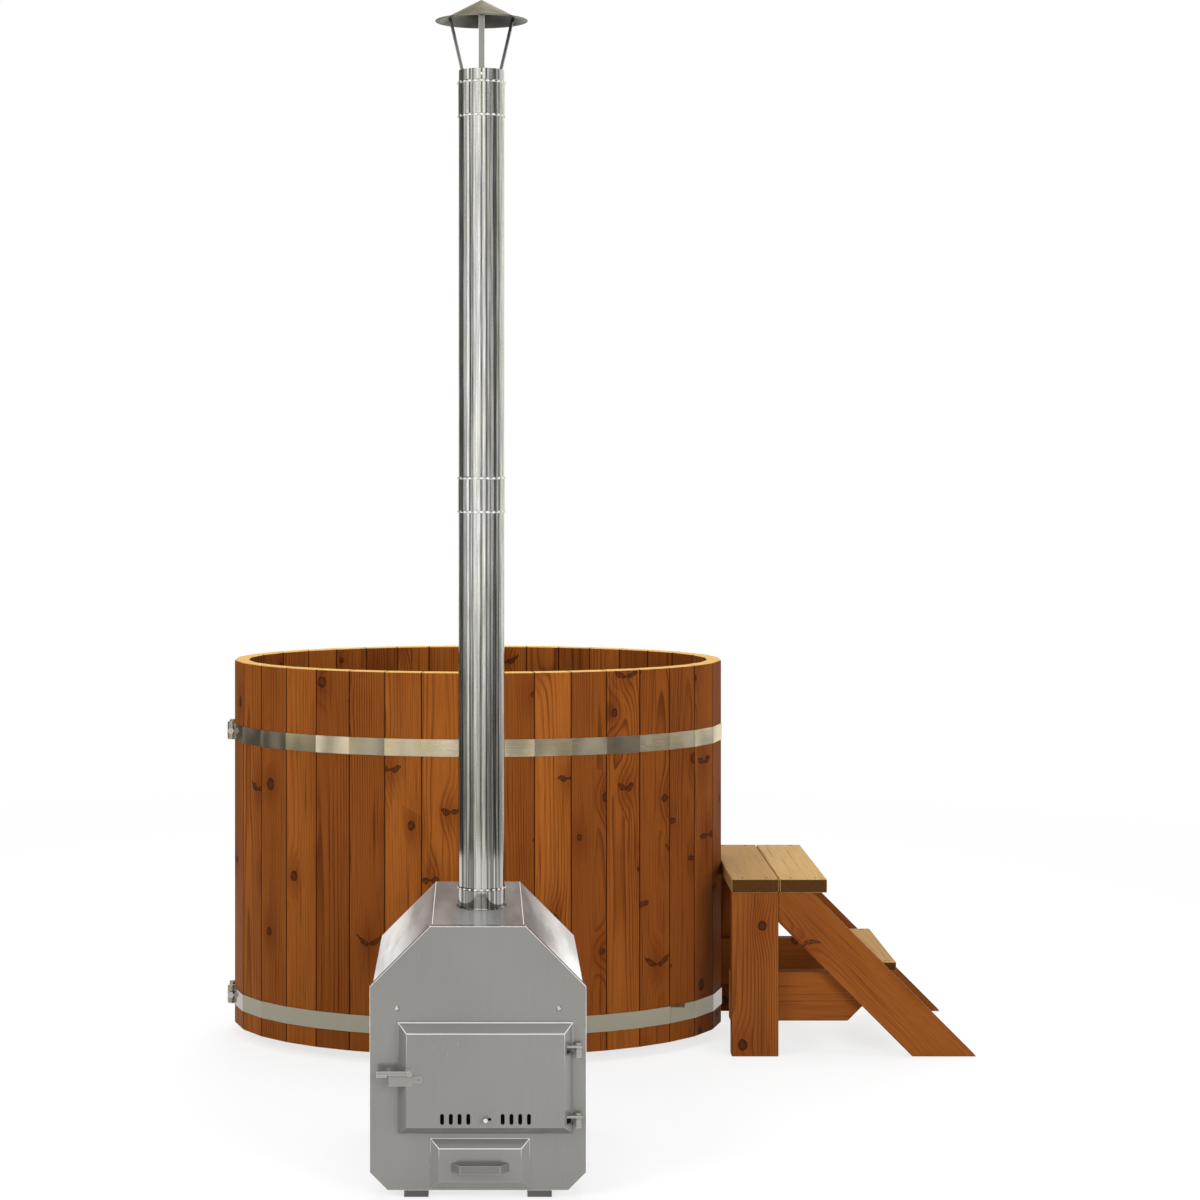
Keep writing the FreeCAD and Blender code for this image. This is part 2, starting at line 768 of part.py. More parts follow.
def casing_outline(inset, tuck="0"):
    """The eight-sided outline, smaller by inset all round and by tuck at the sides."""
    half = f"(panel_width / 2 - ({inset}) - {tuck})"
    low, high = f"(panel_foot + {inset})", f"({CASING_TOP} - ({inset}))"
    shoulder = f"(panel_shoulder - (2 - sqrt(2)) * ({inset}))"
    toe = f"(panel_toe - (2 - sqrt(2)) * ({inset}))"
    return [
        (f"-{half} + {toe}", low),
        (f"{half} - {toe}", low),
        (half, f"{low} + {toe}"),
        (half, f"{high} - {shoulder}"),
        (f"{half} - {shoulder}", high),
        (f"-{half} + {shoulder}", high),
        (f"-{half}", f"{high} - {shoulder}"),
        (f"-{half}", f"{low} + {toe}"),
    ]


SHELL_INSIDE = "(shell_inset + panel_sheet)"
shell_walls = [casing_outline("shell_inset", "shell_tuck"), casing_outline(SHELL_INSIDE, "shell_tuck")]
FLUE_Y = f"({PANEL_Y} + flue_setback)"
shell_body = padded("XZ_Plane", shell_walls, "stove_depth - panel_sheet",
                    0, f"{PANEL_Y} + panel_sheet", 0, flip=True)
ROOF = f"({CASING_TOP} - shell_inset)"


def flue_hole(foot, plate):
    """A hole for the flue through a plate that lies on this height."""
    return rod("flue_radius + flue_fit", f"3 * {plate}", "flue_x", FLUE_Y, f"{foot} - {plate}")


node(cut(shell_body, flue_hole(f"({ROOF} - panel_sheet)", "panel_sheet")), "stove_shell")

DOOR_MIDDLE = "(door_foot + door_height / 2)"
MOUTH_FOOT = f"({DOOR_MIDDLE} - mouth_height / 2)"
MOUTH_TOP = f"({MOUTH_FOOT} + mouth_height)"
MOUTH_LEFT = "(door_x - mouth_width / 2)"
MOUTH_RIGHT = "(door_x + mouth_width / 2)"
TRAY_TOP = "(tray_foot + tray_height)"
mouth = rectangle(MOUTH_LEFT, MOUTH_FOOT, MOUTH_RIGHT, MOUTH_TOP)
drawer_side = "(tray_width / 2 + drawer_mouth_play)"
drawer_mouth = rectangle(f"ash_x - {drawer_side}", "tray_foot - guide_wall",
                         f"ash_x + {drawer_side}", f"{TRAY_TOP} + drawer_mouth_play")
front = padded("XZ_Plane", [casing_outline("0")], "panel_rim", 0, PANEL_Y, 0, flip=True)
pocket(front, "XZ_Plane", [casing_outline("panel_sheet")], "panel_rim - panel_sheet", "-panel_rim", flip=True)
pocket(front, "XZ_Plane", [mouth, drawer_mouth], "panel_rim")
node(front, "stove_front")

# The back pan is pushed into the shell, its rim forward
BACK_INSET = f"({SHELL_INSIDE} + back_play)"
back = padded("XZ_Plane", [casing_outline(BACK_INSET, "shell_tuck")], "panel_rim", 0, STOVE_BACK, 0)
pocket(back, "XZ_Plane", [casing_outline(f"{BACK_INSET} + panel_sheet", "shell_tuck")],
       "panel_rim - panel_sheet", "panel_rim")
back_holes = [
    rod("port_radius + port_play", "2 * panel_rim", 0, f"{STOVE_BACK} - panel_rim", height, "Y")
    for height in PORT_HEIGHTS
]
node(cut(back, *back_holes), "stove_back")

skids = []
for side in ("-", ""):
    left = f"{side}skid_spread / 2 - skid_width / 2"
    height = "panel_foot + shell_inset"
    under_rim = block("skid_width", "stove_depth", "panel_foot", left, PANEL_Y, 0)
    under_shell = block("skid_width", "stove_depth - panel_rim - skid_play", height,
                        left, f"{PANEL_Y} + panel_rim + skid_play", 0)
    hollow = block("skid_width - 2 * skid_sheet", "stove_depth - 2 * skid_sheet", height,
                   f"{left} + skid_sheet", f"{PANEL_Y} + skid_sheet", "skid_sheet")
    skids.append(cut(join(under_rim, under_shell), hollow))
node(group(*skids), "stove_skids")

# Firebox with its floor opening, the water jacket round it, grate and drawer guides

FIRE_HALF = "(fire_width / 2 + fire_wall)"
JACKET_HALF = f"({FIRE_HALF} + jacket_water + jacket_wall)"
FIRE_TOP = "(fire_floor + fire_height)"
JACKET_TOP = f"({FIRE_TOP} + fire_wall + jacket_water + jacket_wall)"
WALLS_Y = f"({FIRE_FRONT} + fire_wall)"
GRATE_Y = f"({WALLS_Y} + (fire_depth - grate_length) / 2)"

# Four flat bars round the mouth, then the welded floor, sides, back and top
fire_plates = [
    block(f"2 * {JACKET_HALF}", "fire_wall", f"{MOUTH_FOOT} - fire_floor + fire_wall",
          f"-{JACKET_HALF}", FIRE_FRONT, "fire_floor - fire_wall"),
    block(f"2 * {JACKET_HALF}", "fire_wall", f"{JACKET_TOP} - {MOUTH_TOP}",
          f"-{JACKET_HALF}", FIRE_FRONT, MOUTH_TOP),
    block(f"{MOUTH_LEFT} + {JACKET_HALF}", "fire_wall", "mouth_height",
          f"-{JACKET_HALF}", FIRE_FRONT, MOUTH_FOOT),
    block(f"{JACKET_HALF} - {MOUTH_RIGHT}", "fire_wall", "mouth_height",
          MOUTH_RIGHT, FIRE_FRONT, MOUTH_FOOT),
]
fire_base = block(f"2 * {JACKET_HALF}", f"{JACKET_DEPTH} - fire_wall", "fire_wall",
                  f"-{JACKET_HALF}", WALLS_Y, "fire_floor - fire_wall")
ash_chute = block("grate_width - 2 * grate_lap", "grate_length - 2 * grate_lap", "3 * fire_wall",
                  "ash_x - grate_width / 2 + grate_lap", f"{GRATE_Y} + grate_lap",
                  "fire_floor - 2 * fire_wall")
fire_plates.append(cut(fire_base, ash_chute))
for left in (f"-{FIRE_HALF}", "fire_width / 2"):
    fire_plates.append(block("fire_wall", "fire_depth + fire_wall", "fire_height + fire_wall",
                             left, WALLS_Y, "fire_floor"))
fire_plates.append(block("fire_width", "fire_wall", "fire_height + fire_wall",
                         "-fire_width / 2", f"{WALLS_Y} + fire_depth", "fire_floor"))
fire_roof = block("fire_width", "fire_depth", "fire_wall", "-fire_width / 2", WALLS_Y, FIRE_TOP)
fire_plates.append(cut(fire_roof, flue_hole(FIRE_TOP, "fire_wall")))
node(group(*fire_plates), "firebox")

JACKET_INSIDE = f"({JACKET_HALF} - jacket_wall)"
jacket_plates = [
    block("jacket_wall", f"{JACKET_DEPTH} - fire_wall", f"{JACKET_TOP} - fire_floor",
          left, WALLS_Y, "fire_floor")
    for left in (f"-{JACKET_HALF}", JACKET_INSIDE)
]
jacket_roof = block(f"2 * {JACKET_INSIDE}", f"{JACKET_DEPTH} - fire_wall", "jacket_wall",
                    f"-{JACKET_INSIDE}", WALLS_Y, f"{JACKET_TOP} - jacket_wall")
jacket_plates.append(cut(jacket_roof, flue_hole(f"({JACKET_TOP} - jacket_wall)", "jacket_wall")))
jacket_end = block(f"2 * {JACKET_INSIDE}", "jacket_wall", f"{JACKET_TOP} - jacket_wall - fire_floor",
                   f"-{JACKET_INSIDE}", f"{JACKET_BACK} - jacket_wall", "fire_floor")
jacket_ports = [
    rod("port_radius", "4 * jacket_wall", 0, f"{JACKET_BACK} - 2 * jacket_wall", height, "Y")
    for height in PORT_HEIGHTS
]
jacket_plates.append(cut(jacket_end, *jacket_ports))
node(group(*jacket_plates), "water_jacket")

grate = padded("XY_Plane", [rectangle("-grate_width / 2", 0, "grate_width / 2", "grate_length")],
               "grate_thickness", "ash_x", GRATE_Y, "fire_floor")
slit_pitch = "(grate_width - 2 * grate_lap) / grate_slits"
slits = []
for slit in range(int(size("grate_slits"))):
    middle = f"(-grate_width / 2 + grate_lap + ({slit} + 0.5) * {slit_pitch})"
    slits.append(rectangle(f"{middle} - grate_slit / 2", "2 * grate_lap",
                           f"{middle} + grate_slit / 2", "grate_length - 2 * grate_lap"))
pocket(grate, "XY_Plane", slits, "grate_thickness", flip=True)
node(grate, "fire_grate")

guides = []
for side in (-1, 1):
    inner_x = f"ash_x + {side} * (tray_width / 2 + tray_play)"
    profile = [
        (f"{side} * guide_wall", "-guide_wall"),
        (f"{side} * guide_wall", "guide_leg"),
        (0, "guide_leg"),
        (0, 0),
        (f"{-side} * guide_leg", 0),
        (f"{-side} * guide_leg", "-guide_wall"),
    ]
    guides.append(padded("XZ_Plane", [profile], "stove_depth - 2 * panel_sheet",
                         inner_x, f"{PANEL_Y} + panel_sheet", "tray_foot - tray_play", flip=True))
node(group(*guides), "drawer_guides")

# Panel screws

screws = []
for side in ("-", ""):
    screws.append(turned([
        (0, 0),
        ("screw_radius", 0),
        ("screw_radius", "screw_dome / 3"),
        ("screw_crown", "screw_dome"),
        (0, "screw_dome"),
    ], f"{side}screw_spread / 2", PANEL_Y, "screw_height", "-Y"))
node(group(*screws), "panel_screws")

# Fire door: a sloping-sided pan with air slots, liner and rope seal

DOOR_BACK = f"({PANEL_Y} - door_gap)"
DOOR_FACE = f"({DOOR_BACK} - door_depth)"
FACE_INSIDE = f"({DOOR_FACE} + door_sheet)"
LUG_BACK = f"({DOOR_BACK} - liner_thickness)"
LUG_LEFT = "(door_x + door_width / 2 - lug_inside)"
HINGE_Y = f"({PANEL_Y} - hinge_stand)"
HINGES = ("hinge_upper", "hinge_lower")
SLOT_MIDDLE = "(slot_foot + slot_height / 2)"


def air_slots(start, depth):
    """Two rows of upright slots with round ends, either side of the knob."""
    slots = []
    for side in (-1, 1):
        for k in range(int(size("slot_count"))):
            middle = f"(door_x + {side} * (slot_offset + {k} * slot_pitch))"
            slots.append(block("slot_width", depth, "slot_height - slot_width",
                               f"{middle} - slot_width / 2", start, "slot_foot + slot_width / 2"))
            for height in ("slot_foot + slot_width / 2", "slot_foot + slot_height - slot_width / 2"):
                slots.append(rod("slot_width / 2", depth, middle, start, height, "Y"))
    return slots


door_cuts = air_slots(f"{DOOR_FACE} - door_sheet", "3 * door_sheet")
door_cuts.append(block(
    "damper_travel + 3 * knob_stem_radius", "3 * door_sheet", "3 * knob_stem_radius",
    "door_x - 1.5 * knob_stem_radius", f"{DOOR_FACE} - door_sheet", f"{SLOT_MIDDLE} - 1.5 * knob_stem_radius",
))
for hinge in HINGES:
    door_cuts.append(block(
        "hinge_x", "lug_depth + 2 * notch_play", "lug_plate + notch_play + notch_drop",
        LUG_LEFT, f"{LUG_BACK} - lug_depth - notch_play", f"{hinge} - lug_plate / 2 - notch_drop",
    ))
door_shell = tapered_pan("door_width", "door_height", "door_depth", "door_bevel", "door_sheet",
                         "door_x", DOOR_BACK, "door_foot")
node(cut(door_shell, *door_cuts), "door_pan")

liner_inset = "(door_sheet + door_bevel * liner_thickness / door_depth + seal_play)"
node(block(
    f"door_width - 2 * {liner_inset}", "liner_thickness", f"door_height - 2 * {liner_inset}",
    f"door_x - door_width / 2 + {liner_inset}", LUG_BACK, f"door_foot + {liner_inset}",
), "door_liner")


def mouth_frame(margin):
    side, rise = f"(mouth_width / 2 + {margin})", f"(mouth_height / 2 + {margin})"
    return rectangle(f"door_x - {side}", f"{DOOR_MIDDLE} - {rise}",
                     f"door_x + {side}", f"{DOOR_MIDDLE} + {rise}")


node(padded("XZ_Plane", [mouth_frame("seal_margin + seal_width"), mouth_frame("seal_margin")],
            "door_gap - seal_play", 0, DOOR_BACK, 0, flip=True), "door_seal")

# Hinges: barrels on the panel, lug plates and pins on the door

hinge_barrels, door_lugs, hinge_pins = [], [], []
for hinge in HINGES:
    barrel_top = f"({hinge} - lug_plate / 2 - seal_play)"
    barrel_foot = f"({barrel_top} - hinge_barrel_length)"
    barrel = rod("hinge_barrel_radius", "hinge_barrel_length", "hinge_x", HINGE_Y, barrel_foot)
    web = block("hinge_barrel_radius", "hinge_stand", "hinge_barrel_length",
                "hinge_x - hinge_barrel_radius / 2", HINGE_Y, barrel_foot)
    bore = rod("hinge_radius + hinge_play", "hinge_barrel_length", "hinge_x", HINGE_Y, barrel_foot)
    hinge_barrels.append(cut(join(barrel, web), bore))
    plate = block(f"hinge_x + lug_end - {LUG_LEFT}", "lug_depth", "lug_plate",
                  LUG_LEFT, f"{LUG_BACK} - lug_depth", f"{hinge} - lug_plate / 2")
    eye = rod("hinge_radius + hinge_play", "2 * lug_plate", "hinge_x", HINGE_Y, f"{hinge} - lug_plate")
    door_lugs.append(cut(plate, eye))
    pin = rod("hinge_radius", f"{hinge} + lug_plate / 2 - {barrel_foot}", "hinge_x", HINGE_Y, barrel_foot)
    head = rod("pin_head_radius", "pin_head_height", "hinge_x", HINGE_Y, f"{hinge} + lug_plate / 2")
    hinge_pins.append(join(pin, head))
node(group(*hinge_barrels), "hinge_barrels")
node(group(*door_lugs), "door_lugs")
node(group(*hinge_pins), "hinge_pins")

# Air damper: a slotted strip behind the door's face, moved by a knob

PLATE_HALF = "(slot_offset + (slot_count - 1) * slot_pitch + slot_width / 2 + damper_margin)"
DAMPER_Y = f"({FACE_INSIDE} + damper_play)"
strip = block(f"2 * {PLATE_HALF}", "damper_thickness", "slot_height + 2 * damper_margin",
              f"door_x - {PLATE_HALF}", DAMPER_Y, "slot_foot - damper_margin")
node(cut(strip, *air_slots(f"{DAMPER_Y} - damper_thickness", "3 * damper_thickness")), "air_damper")
node(turned([
    (0, 0),
    ("knob_stem_radius", 0),
    ("knob_stem_radius", "damper_play + door_sheet + knob_stem_radius"),
    ("knob_neck", "damper_play + door_sheet + knob_stem_radius"),
    ("knob_radius", "damper_play + door_sheet + knob_reach / 2"),
    ("knob_crown", "damper_play + door_sheet + knob_reach"),
    (0, "damper_play + door_sheet + knob_reach"),
], "door_x", DAMPER_Y, SLOT_MIDDLE, "-Y"), "air_knob")

# Latch: a plate on the door, a bar that turns on a bolt, and the keeper on the panel

PLATE_TOP = "(latch_height - latch_bar_height / 2)"
PLATE_FOOT = f"({PLATE_TOP} - latch_plate_drop)"
TAB_TOP = f"({PLATE_TOP} - latch_plate_drop + latch_tab_drop)"
plate_outline = [
    ("latch_x - latch_plate_left", PLATE_FOOT),
    ("latch_x + latch_eye", PLATE_FOOT),
    ("latch_x + latch_eye", f"{TAB_TOP} - latch_tab_height"),
    ("latch_x + latch_plate_right", f"{TAB_TOP} - latch_tab_height"),
    ("latch_x + latch_plate_right", TAB_TOP),
    ("latch_x + latch_ear", TAB_TOP),
    ("latch_x + latch_ear", "latch_height + latch_ear"),
    ("latch_x - latch_ear", "latch_height + latch_ear"),
    ("latch_x - latch_ear", PLATE_TOP),
    ("latch_x - latch_plate_left", PLATE_TOP),
]
latch_plate = padded("XZ_Plane", [plate_outline], "latch_plate_sheet", 0, DOOR_FACE, 0)
BAR_Y = f"({DOOR_FACE} - latch_plate_sheet - keeper_play - latch_bar_thickness)"
bolt = rod("latch_bolt_radius", "latch_plate_sheet + 2 * keeper_play + latch_bar_thickness",
           "latch_x", f"{BAR_Y} - keeper_play", "latch_height", "Y")
bolt_hole = rod("latch_bolt_radius", "2 * latch_plate_sheet", "latch_x",
                f"{DOOR_FACE} - 1.5 * latch_plate_sheet", "latch_height", "Y")
tab_hole = rod("latch_tab_hole", "2 * latch_plate_sheet",
               "latch_x + latch_plate_right - latch_tab_height / 2",
               f"{DOOR_FACE} - 1.5 * latch_plate_sheet", f"{TAB_TOP} - latch_tab_height / 2", "Y")
node(cut(latch_plate, bolt_hole, tab_hole), "latch_plate")
bolt_head = rod("bolt_head_radius", "bolt_head_height", "latch_x",
                f"{BAR_Y} - keeper_play - bolt_head_height", "latch_height", "Y")
node(join(bolt, bolt_head), "latch_bolt")

bar = block("latch_reach", "latch_bar_thickness", "latch_bar_height",
            "latch_x - latch_reach", BAR_Y, "latch_height - latch_bar_height / 2")
bar_eye = rod("latch_eye", "latch_bar_thickness", "latch_x", BAR_Y, "latch_height", "Y")
bar_hole = rod("latch_bolt_radius + latch_play", "3 * latch_bar_thickness", "latch_x",
               f"{BAR_Y} - latch_bar_thickness", "latch_height", "Y")
node(cut(join(bar, bar_eye), bar_hole), "latch_bar")
node(block("keeper_width", f"{PANEL_Y} - {BAR_Y}", "keeper_thickness", "latch_x - latch_reach", BAR_Y,
           f"{PLATE_TOP} - keeper_play - keeper_thickness"), "latch_keeper")

# Ash drawer: open tray, sloping-sided front and a bent strip to pull it by

ASH_BACK = f"({PANEL_Y} - ash_gap)"
ASH_FACE = f"({ASH_BACK} - ash_pan_depth)"
node(tapered_pan("ash_width", "ash_height", "ash_pan_depth", "ash_bevel", "tray_wall",
                 "ash_x", ASH_BACK, "ash_foot"), "ash_front")
TRAY_FRONT = f"({ASH_FACE} + tray_wall)"
tray_box = block("tray_width", "tray_length", "tray_height",
                 "ash_x - tray_width / 2", TRAY_FRONT, "tray_foot")
tray_room = block("tray_width - 2 * tray_wall", "tray_length - 2 * tray_wall", "tray_height",
                  "ash_x - tray_width / 2 + tray_wall", f"{TRAY_FRONT} + tray_wall", "tray_foot + tray_wall")
node(cut(tray_box, tray_room), "ash_tray")
node(padded("XY_Plane", [[
    ("-pull_width / 2", 0),
    ("-pull_flat / 2", "-pull_reach"),
    ("pull_flat / 2", "-pull_reach"),
    ("pull_width / 2", 0),
    ("pull_width / 2 - pull_slant", 0),
    ("pull_flat / 2 - pull_strip / 2", "-pull_reach + pull_strip"),
    ("-pull_flat / 2 + pull_strip / 2", "-pull_reach + pull_strip"),
    ("-pull_width / 2 + pull_slant", 0),
]], "pull_height", "ash_x", ASH_FACE, "pull_foot"), "ash_pull")

# Flue: collar on the stove, two pipes with beaded sockets, cap collar

SOCKET_IN = "(flue_radius + flue_fit)"
SOCKET_OUT = f"({SOCKET_IN} + flue_wall)"
BEAD = f"({SOCKET_OUT} + bead_height)"
LOWER_FOOT = f"({ROOF} + collar_flange_height)"
UPPER_FOOT = f"({LOWER_FOOT} + flue_base_socket + flue_lower)"
CAP_FOOT = f"({UPPER_FOOT} + flue_pitch)"


def bead(middle):
    return [
        (SOCKET_OUT, f"{middle} - bead_width / 2"),
        (BEAD, f"{middle} - bead_width / 4"),
        (BEAD, f"{middle} + bead_width / 4"),
        (SOCKET_OUT, f"{middle} + bead_width / 2"),
    ]


def socket_pipe(socket, length, foot, beads):
    outline = [(SOCKET_IN, 0)]
    outline += bead("bead_width / 2") if beads == 2 else [(SOCKET_OUT, 0)]
    outline += bead(f"{socket} - bead_width / 2")
    outline += [
        ("flue_radius", f"{socket} + flue_wall"),
        ("flue_radius", length),
        ("flue_radius - flue_wall", length),
        ("flue_radius - flue_wall", socket),
        (SOCKET_IN, socket),
    ]
    return turned(outline, "flue_x", FLUE_Y, foot)


node(turned([
    ("flue_radius - flue_wall", 0),
    ("flue_radius", 0),
    ("flue_radius", f"{ROOF} - {FIRE_TOP}"),
    ("flue_radius + collar_flange", f"{ROOF} - {FIRE_TOP}"),
    ("flue_radius + collar_flange", f"{LOWER_FOOT} - {FIRE_TOP}"),
    ("flue_radius", f"{LOWER_FOOT} - {FIRE_TOP}"),
    ("flue_radius", f"{LOWER_FOOT} + flue_base_socket - flue_fit - {FIRE_TOP}"),
    ("flue_radius - flue_wall", f"{LOWER_FOOT} + flue_base_socket - flue_fit - {FIRE_TOP}"),
], "flue_x", FLUE_Y, FIRE_TOP), "flue_collar")
node(socket_pipe("flue_base_socket", f"{UPPER_FOOT} + flue_socket - flue_fit - {LOWER_FOOT}", LOWER_FOOT, 1),
     "lower_flue_pipe")
node(socket_pipe("flue_socket", "flue_pitch + flue_socket - flue_fit", UPPER_FOOT, 2), "upper_flue_pipe")
node(socket_pipe("flue_socket", "cap_collar_height", CAP_FOOT, 2), "cap_collar")

# Rain cap: a cone on three straps, one of them in front

CAP_TOP = f"({CAP_FOOT} + cap_collar_height)"
BRIM = f"({CAP_TOP} + cap_gap)"
node(turned([
    (0, "cap_rise"),
    ("cap_radius", 0),
    ("cap_radius + cap_brim", 0),
    ("cap_radius + cap_brim", "cap_sheet"),
    ("cap_radius", "cap_sheet"),
    (0, "cap_rise + cap_sheet"),
], "flue_x", FLUE_Y, BRIM), "cap_cone")

STRAP_OUT = "(sqrt((flue_radius - flue_wall)^2 - (strap_width / 2)^2) - flue_fit)"


def under_cone(radius):
    return f"cap_gap + cap_rise * (1 - ({radius}) / cap_radius) - flue_fit"


strap = padded("XZ_Plane", [[
    (STRAP_OUT, "-strap_foot"),
    (STRAP_OUT, 0),
    ("strap_spread", under_cone("strap_spread")),
    ("strap_spread - strap_sheet", under_cone("strap_spread - strap_sheet")),
    (f"{STRAP_OUT} - strap_sheet", 0),
    (f"{STRAP_OUT} - strap_sheet", "-strap_foot"),
]], "strap_width", 0, "strap_width / 2", 0)
doc.recompute()
straps = []
for k in range(int(size("strap_count"))):
    copy = strap.Shape.copy()
    copy.rotate(Vector(), Vector(0, 0, 1), 360 * k / size("strap_count") - 90)
    straps.append(copy)
node(place(shaped(Part.makeCompound(straps)), "flue_x", FLUE_Y, CAP_TOP), "cap_straps")

# Steps: two posts and stringers with rails between, one tread and a top of two boards

STEP_X = "(tub_length / 2 + step_gap)"
STEP_FRONT = "(step_shift - step_length / 2)"
STEP_BACK = "(step_shift + step_length / 2)"
POST_TOP = "(platform_height - board_thickness)"
POST_SIDE = f"({STEP_X} + post_width)"
RAIL_TOP = "(rail_foot + rail_height)"
posts, stringers, rails = [], [], []
for start, rail_start in (
    (STEP_FRONT, f"{STEP_FRONT} + post_thickness"),
    (f"{STEP_BACK} - post_thickness", f"{STEP_BACK} - post_thickness - rail_thickness"),
):
    posts.append(block("post_width", "post_thickness", POST_TOP, STEP_X, start, 0))
    stringers.append(padded("XZ_Plane", [[
        (0, POST_TOP),
        (0, f"{POST_TOP} - stringer_drop"),
        (f"{POST_TOP} - stringer_drop", 0),
        (f"{POST_TOP} + stringer_head", 0),
        ("stringer_head", POST_TOP),
    ]], "post_thickness", POST_SIDE, start, 0, flip=True))
    rails.append(padded("XZ_Plane", [[
        (0, "rail_foot"),
        ("rail_reach - rail_cut", "rail_foot"),
        ("rail_reach", "rail_foot + rail_cut"),
        ("rail_reach", RAIL_TOP),
        (0, RAIL_TOP),
    ]], "rail_thickness", STEP_X, rail_start, 0, flip=True))
node(group(*posts), "step_posts")
node(group(*stringers), "step_stringers")
node(group(*rails), "step_rails")

TREAD_TOP = f"({RAIL_TOP} + tread_thickness)"
NOSE_X = f"({POST_SIDE} + stringer_head + {POST_TOP} - {TREAD_TOP} + tread_nose)"
node(block("tread_width", "step_length - 2 * (post_thickness + tread_play)", "tread_thickness",
           f"{NOSE_X} - tread_width", f"{STEP_FRONT} + post_thickness + tread_play", RAIL_TOP), "step_tread")
top_boards = []
board_width = "(platform_width - (top_boards - 1) * top_slit) / top_boards"
for row in range(int(size("top_boards"))):
    left = f"{STEP_X} + {row} * ({board_width} + top_slit)"
    top_boards.append(block(board_width, "step_length", "board_thickness", left, STEP_FRONT, POST_TOP))
node(group(*top_boards), "step_top_boards")

# Check every object, then write one file for each sub-part

doc.recompute()
broken = [item.Label for item in doc.Objects if "Invalid" in item.State or "Error" in item.State]
broken += [piece.Label for piece in nodes if piece.Shape.isNull() or not piece.Shape.isValid()]
if broken:
    raise RuntimeError(f"not built: {broken}")
os.makedirs("parts", exist_ok=True)
for piece in nodes:
    piece.Shape.exportStep(f"parts/{piece.Label}.step")
    print(piece.Label, len(piece.Shape.Solids), "solids", round(piece.Shape.Volume / 1000, 1), "cm3")
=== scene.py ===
import math

import bmesh
import bpy
from mathutils import Matrix, Vector


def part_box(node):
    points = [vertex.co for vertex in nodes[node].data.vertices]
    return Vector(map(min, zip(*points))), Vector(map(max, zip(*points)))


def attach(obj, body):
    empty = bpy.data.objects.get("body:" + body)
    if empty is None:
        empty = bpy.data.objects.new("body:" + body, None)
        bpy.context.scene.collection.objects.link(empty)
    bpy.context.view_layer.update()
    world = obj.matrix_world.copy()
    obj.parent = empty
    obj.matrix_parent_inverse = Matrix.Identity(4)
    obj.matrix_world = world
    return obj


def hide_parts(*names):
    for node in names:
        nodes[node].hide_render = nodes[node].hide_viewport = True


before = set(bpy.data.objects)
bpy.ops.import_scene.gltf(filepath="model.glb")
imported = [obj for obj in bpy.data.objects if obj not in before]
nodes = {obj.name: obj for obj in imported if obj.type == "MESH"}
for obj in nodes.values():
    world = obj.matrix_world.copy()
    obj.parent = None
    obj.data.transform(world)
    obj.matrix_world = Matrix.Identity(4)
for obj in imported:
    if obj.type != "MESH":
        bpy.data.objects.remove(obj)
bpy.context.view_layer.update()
ROOT = "tub_and_stove"

# Staves. Upright boards of heat-treated pine, planed flat, mitred to each other along an oval
# and eased on every edge. Oiled red-brown, with dark knots. The rim's end grain is painted much paler:
# painted light from above on the faces that look up.

TUB_LENGTH, TUB_WIDTH = 1.490, 0.980
STAVE_COUNT = 36
STAVE_WIDTH, STAVE_THICKNESS = 0.110, 0.042
STAVE_FOOT, STAVE_TOP = 0.030, 1.140
STAVE_EASE = 0.0030
STAVE_JOINT = 0.0005
STAVE_END_FACING = 0.6
OVAL_POINTS = 1440


def colour(red, green, blue):
    """A screen colour, 0 to 255, as the linear colour that a shader takes."""
    parts = (value / 255 for value in (red, green, blue))
    return (*(part / 12.92 if part < 0.04 else ((part + 0.055) / 1.055) ** 2.4 for part in parts), 1.0)


def sign(operation, mirrored=False):
    """A method that joins a wire and another value by a Math node, the other one first if mirrored."""

    def joined(self, other):
        return self.math(operation, *((other, self) if mirrored else (self, other)))

    return joined


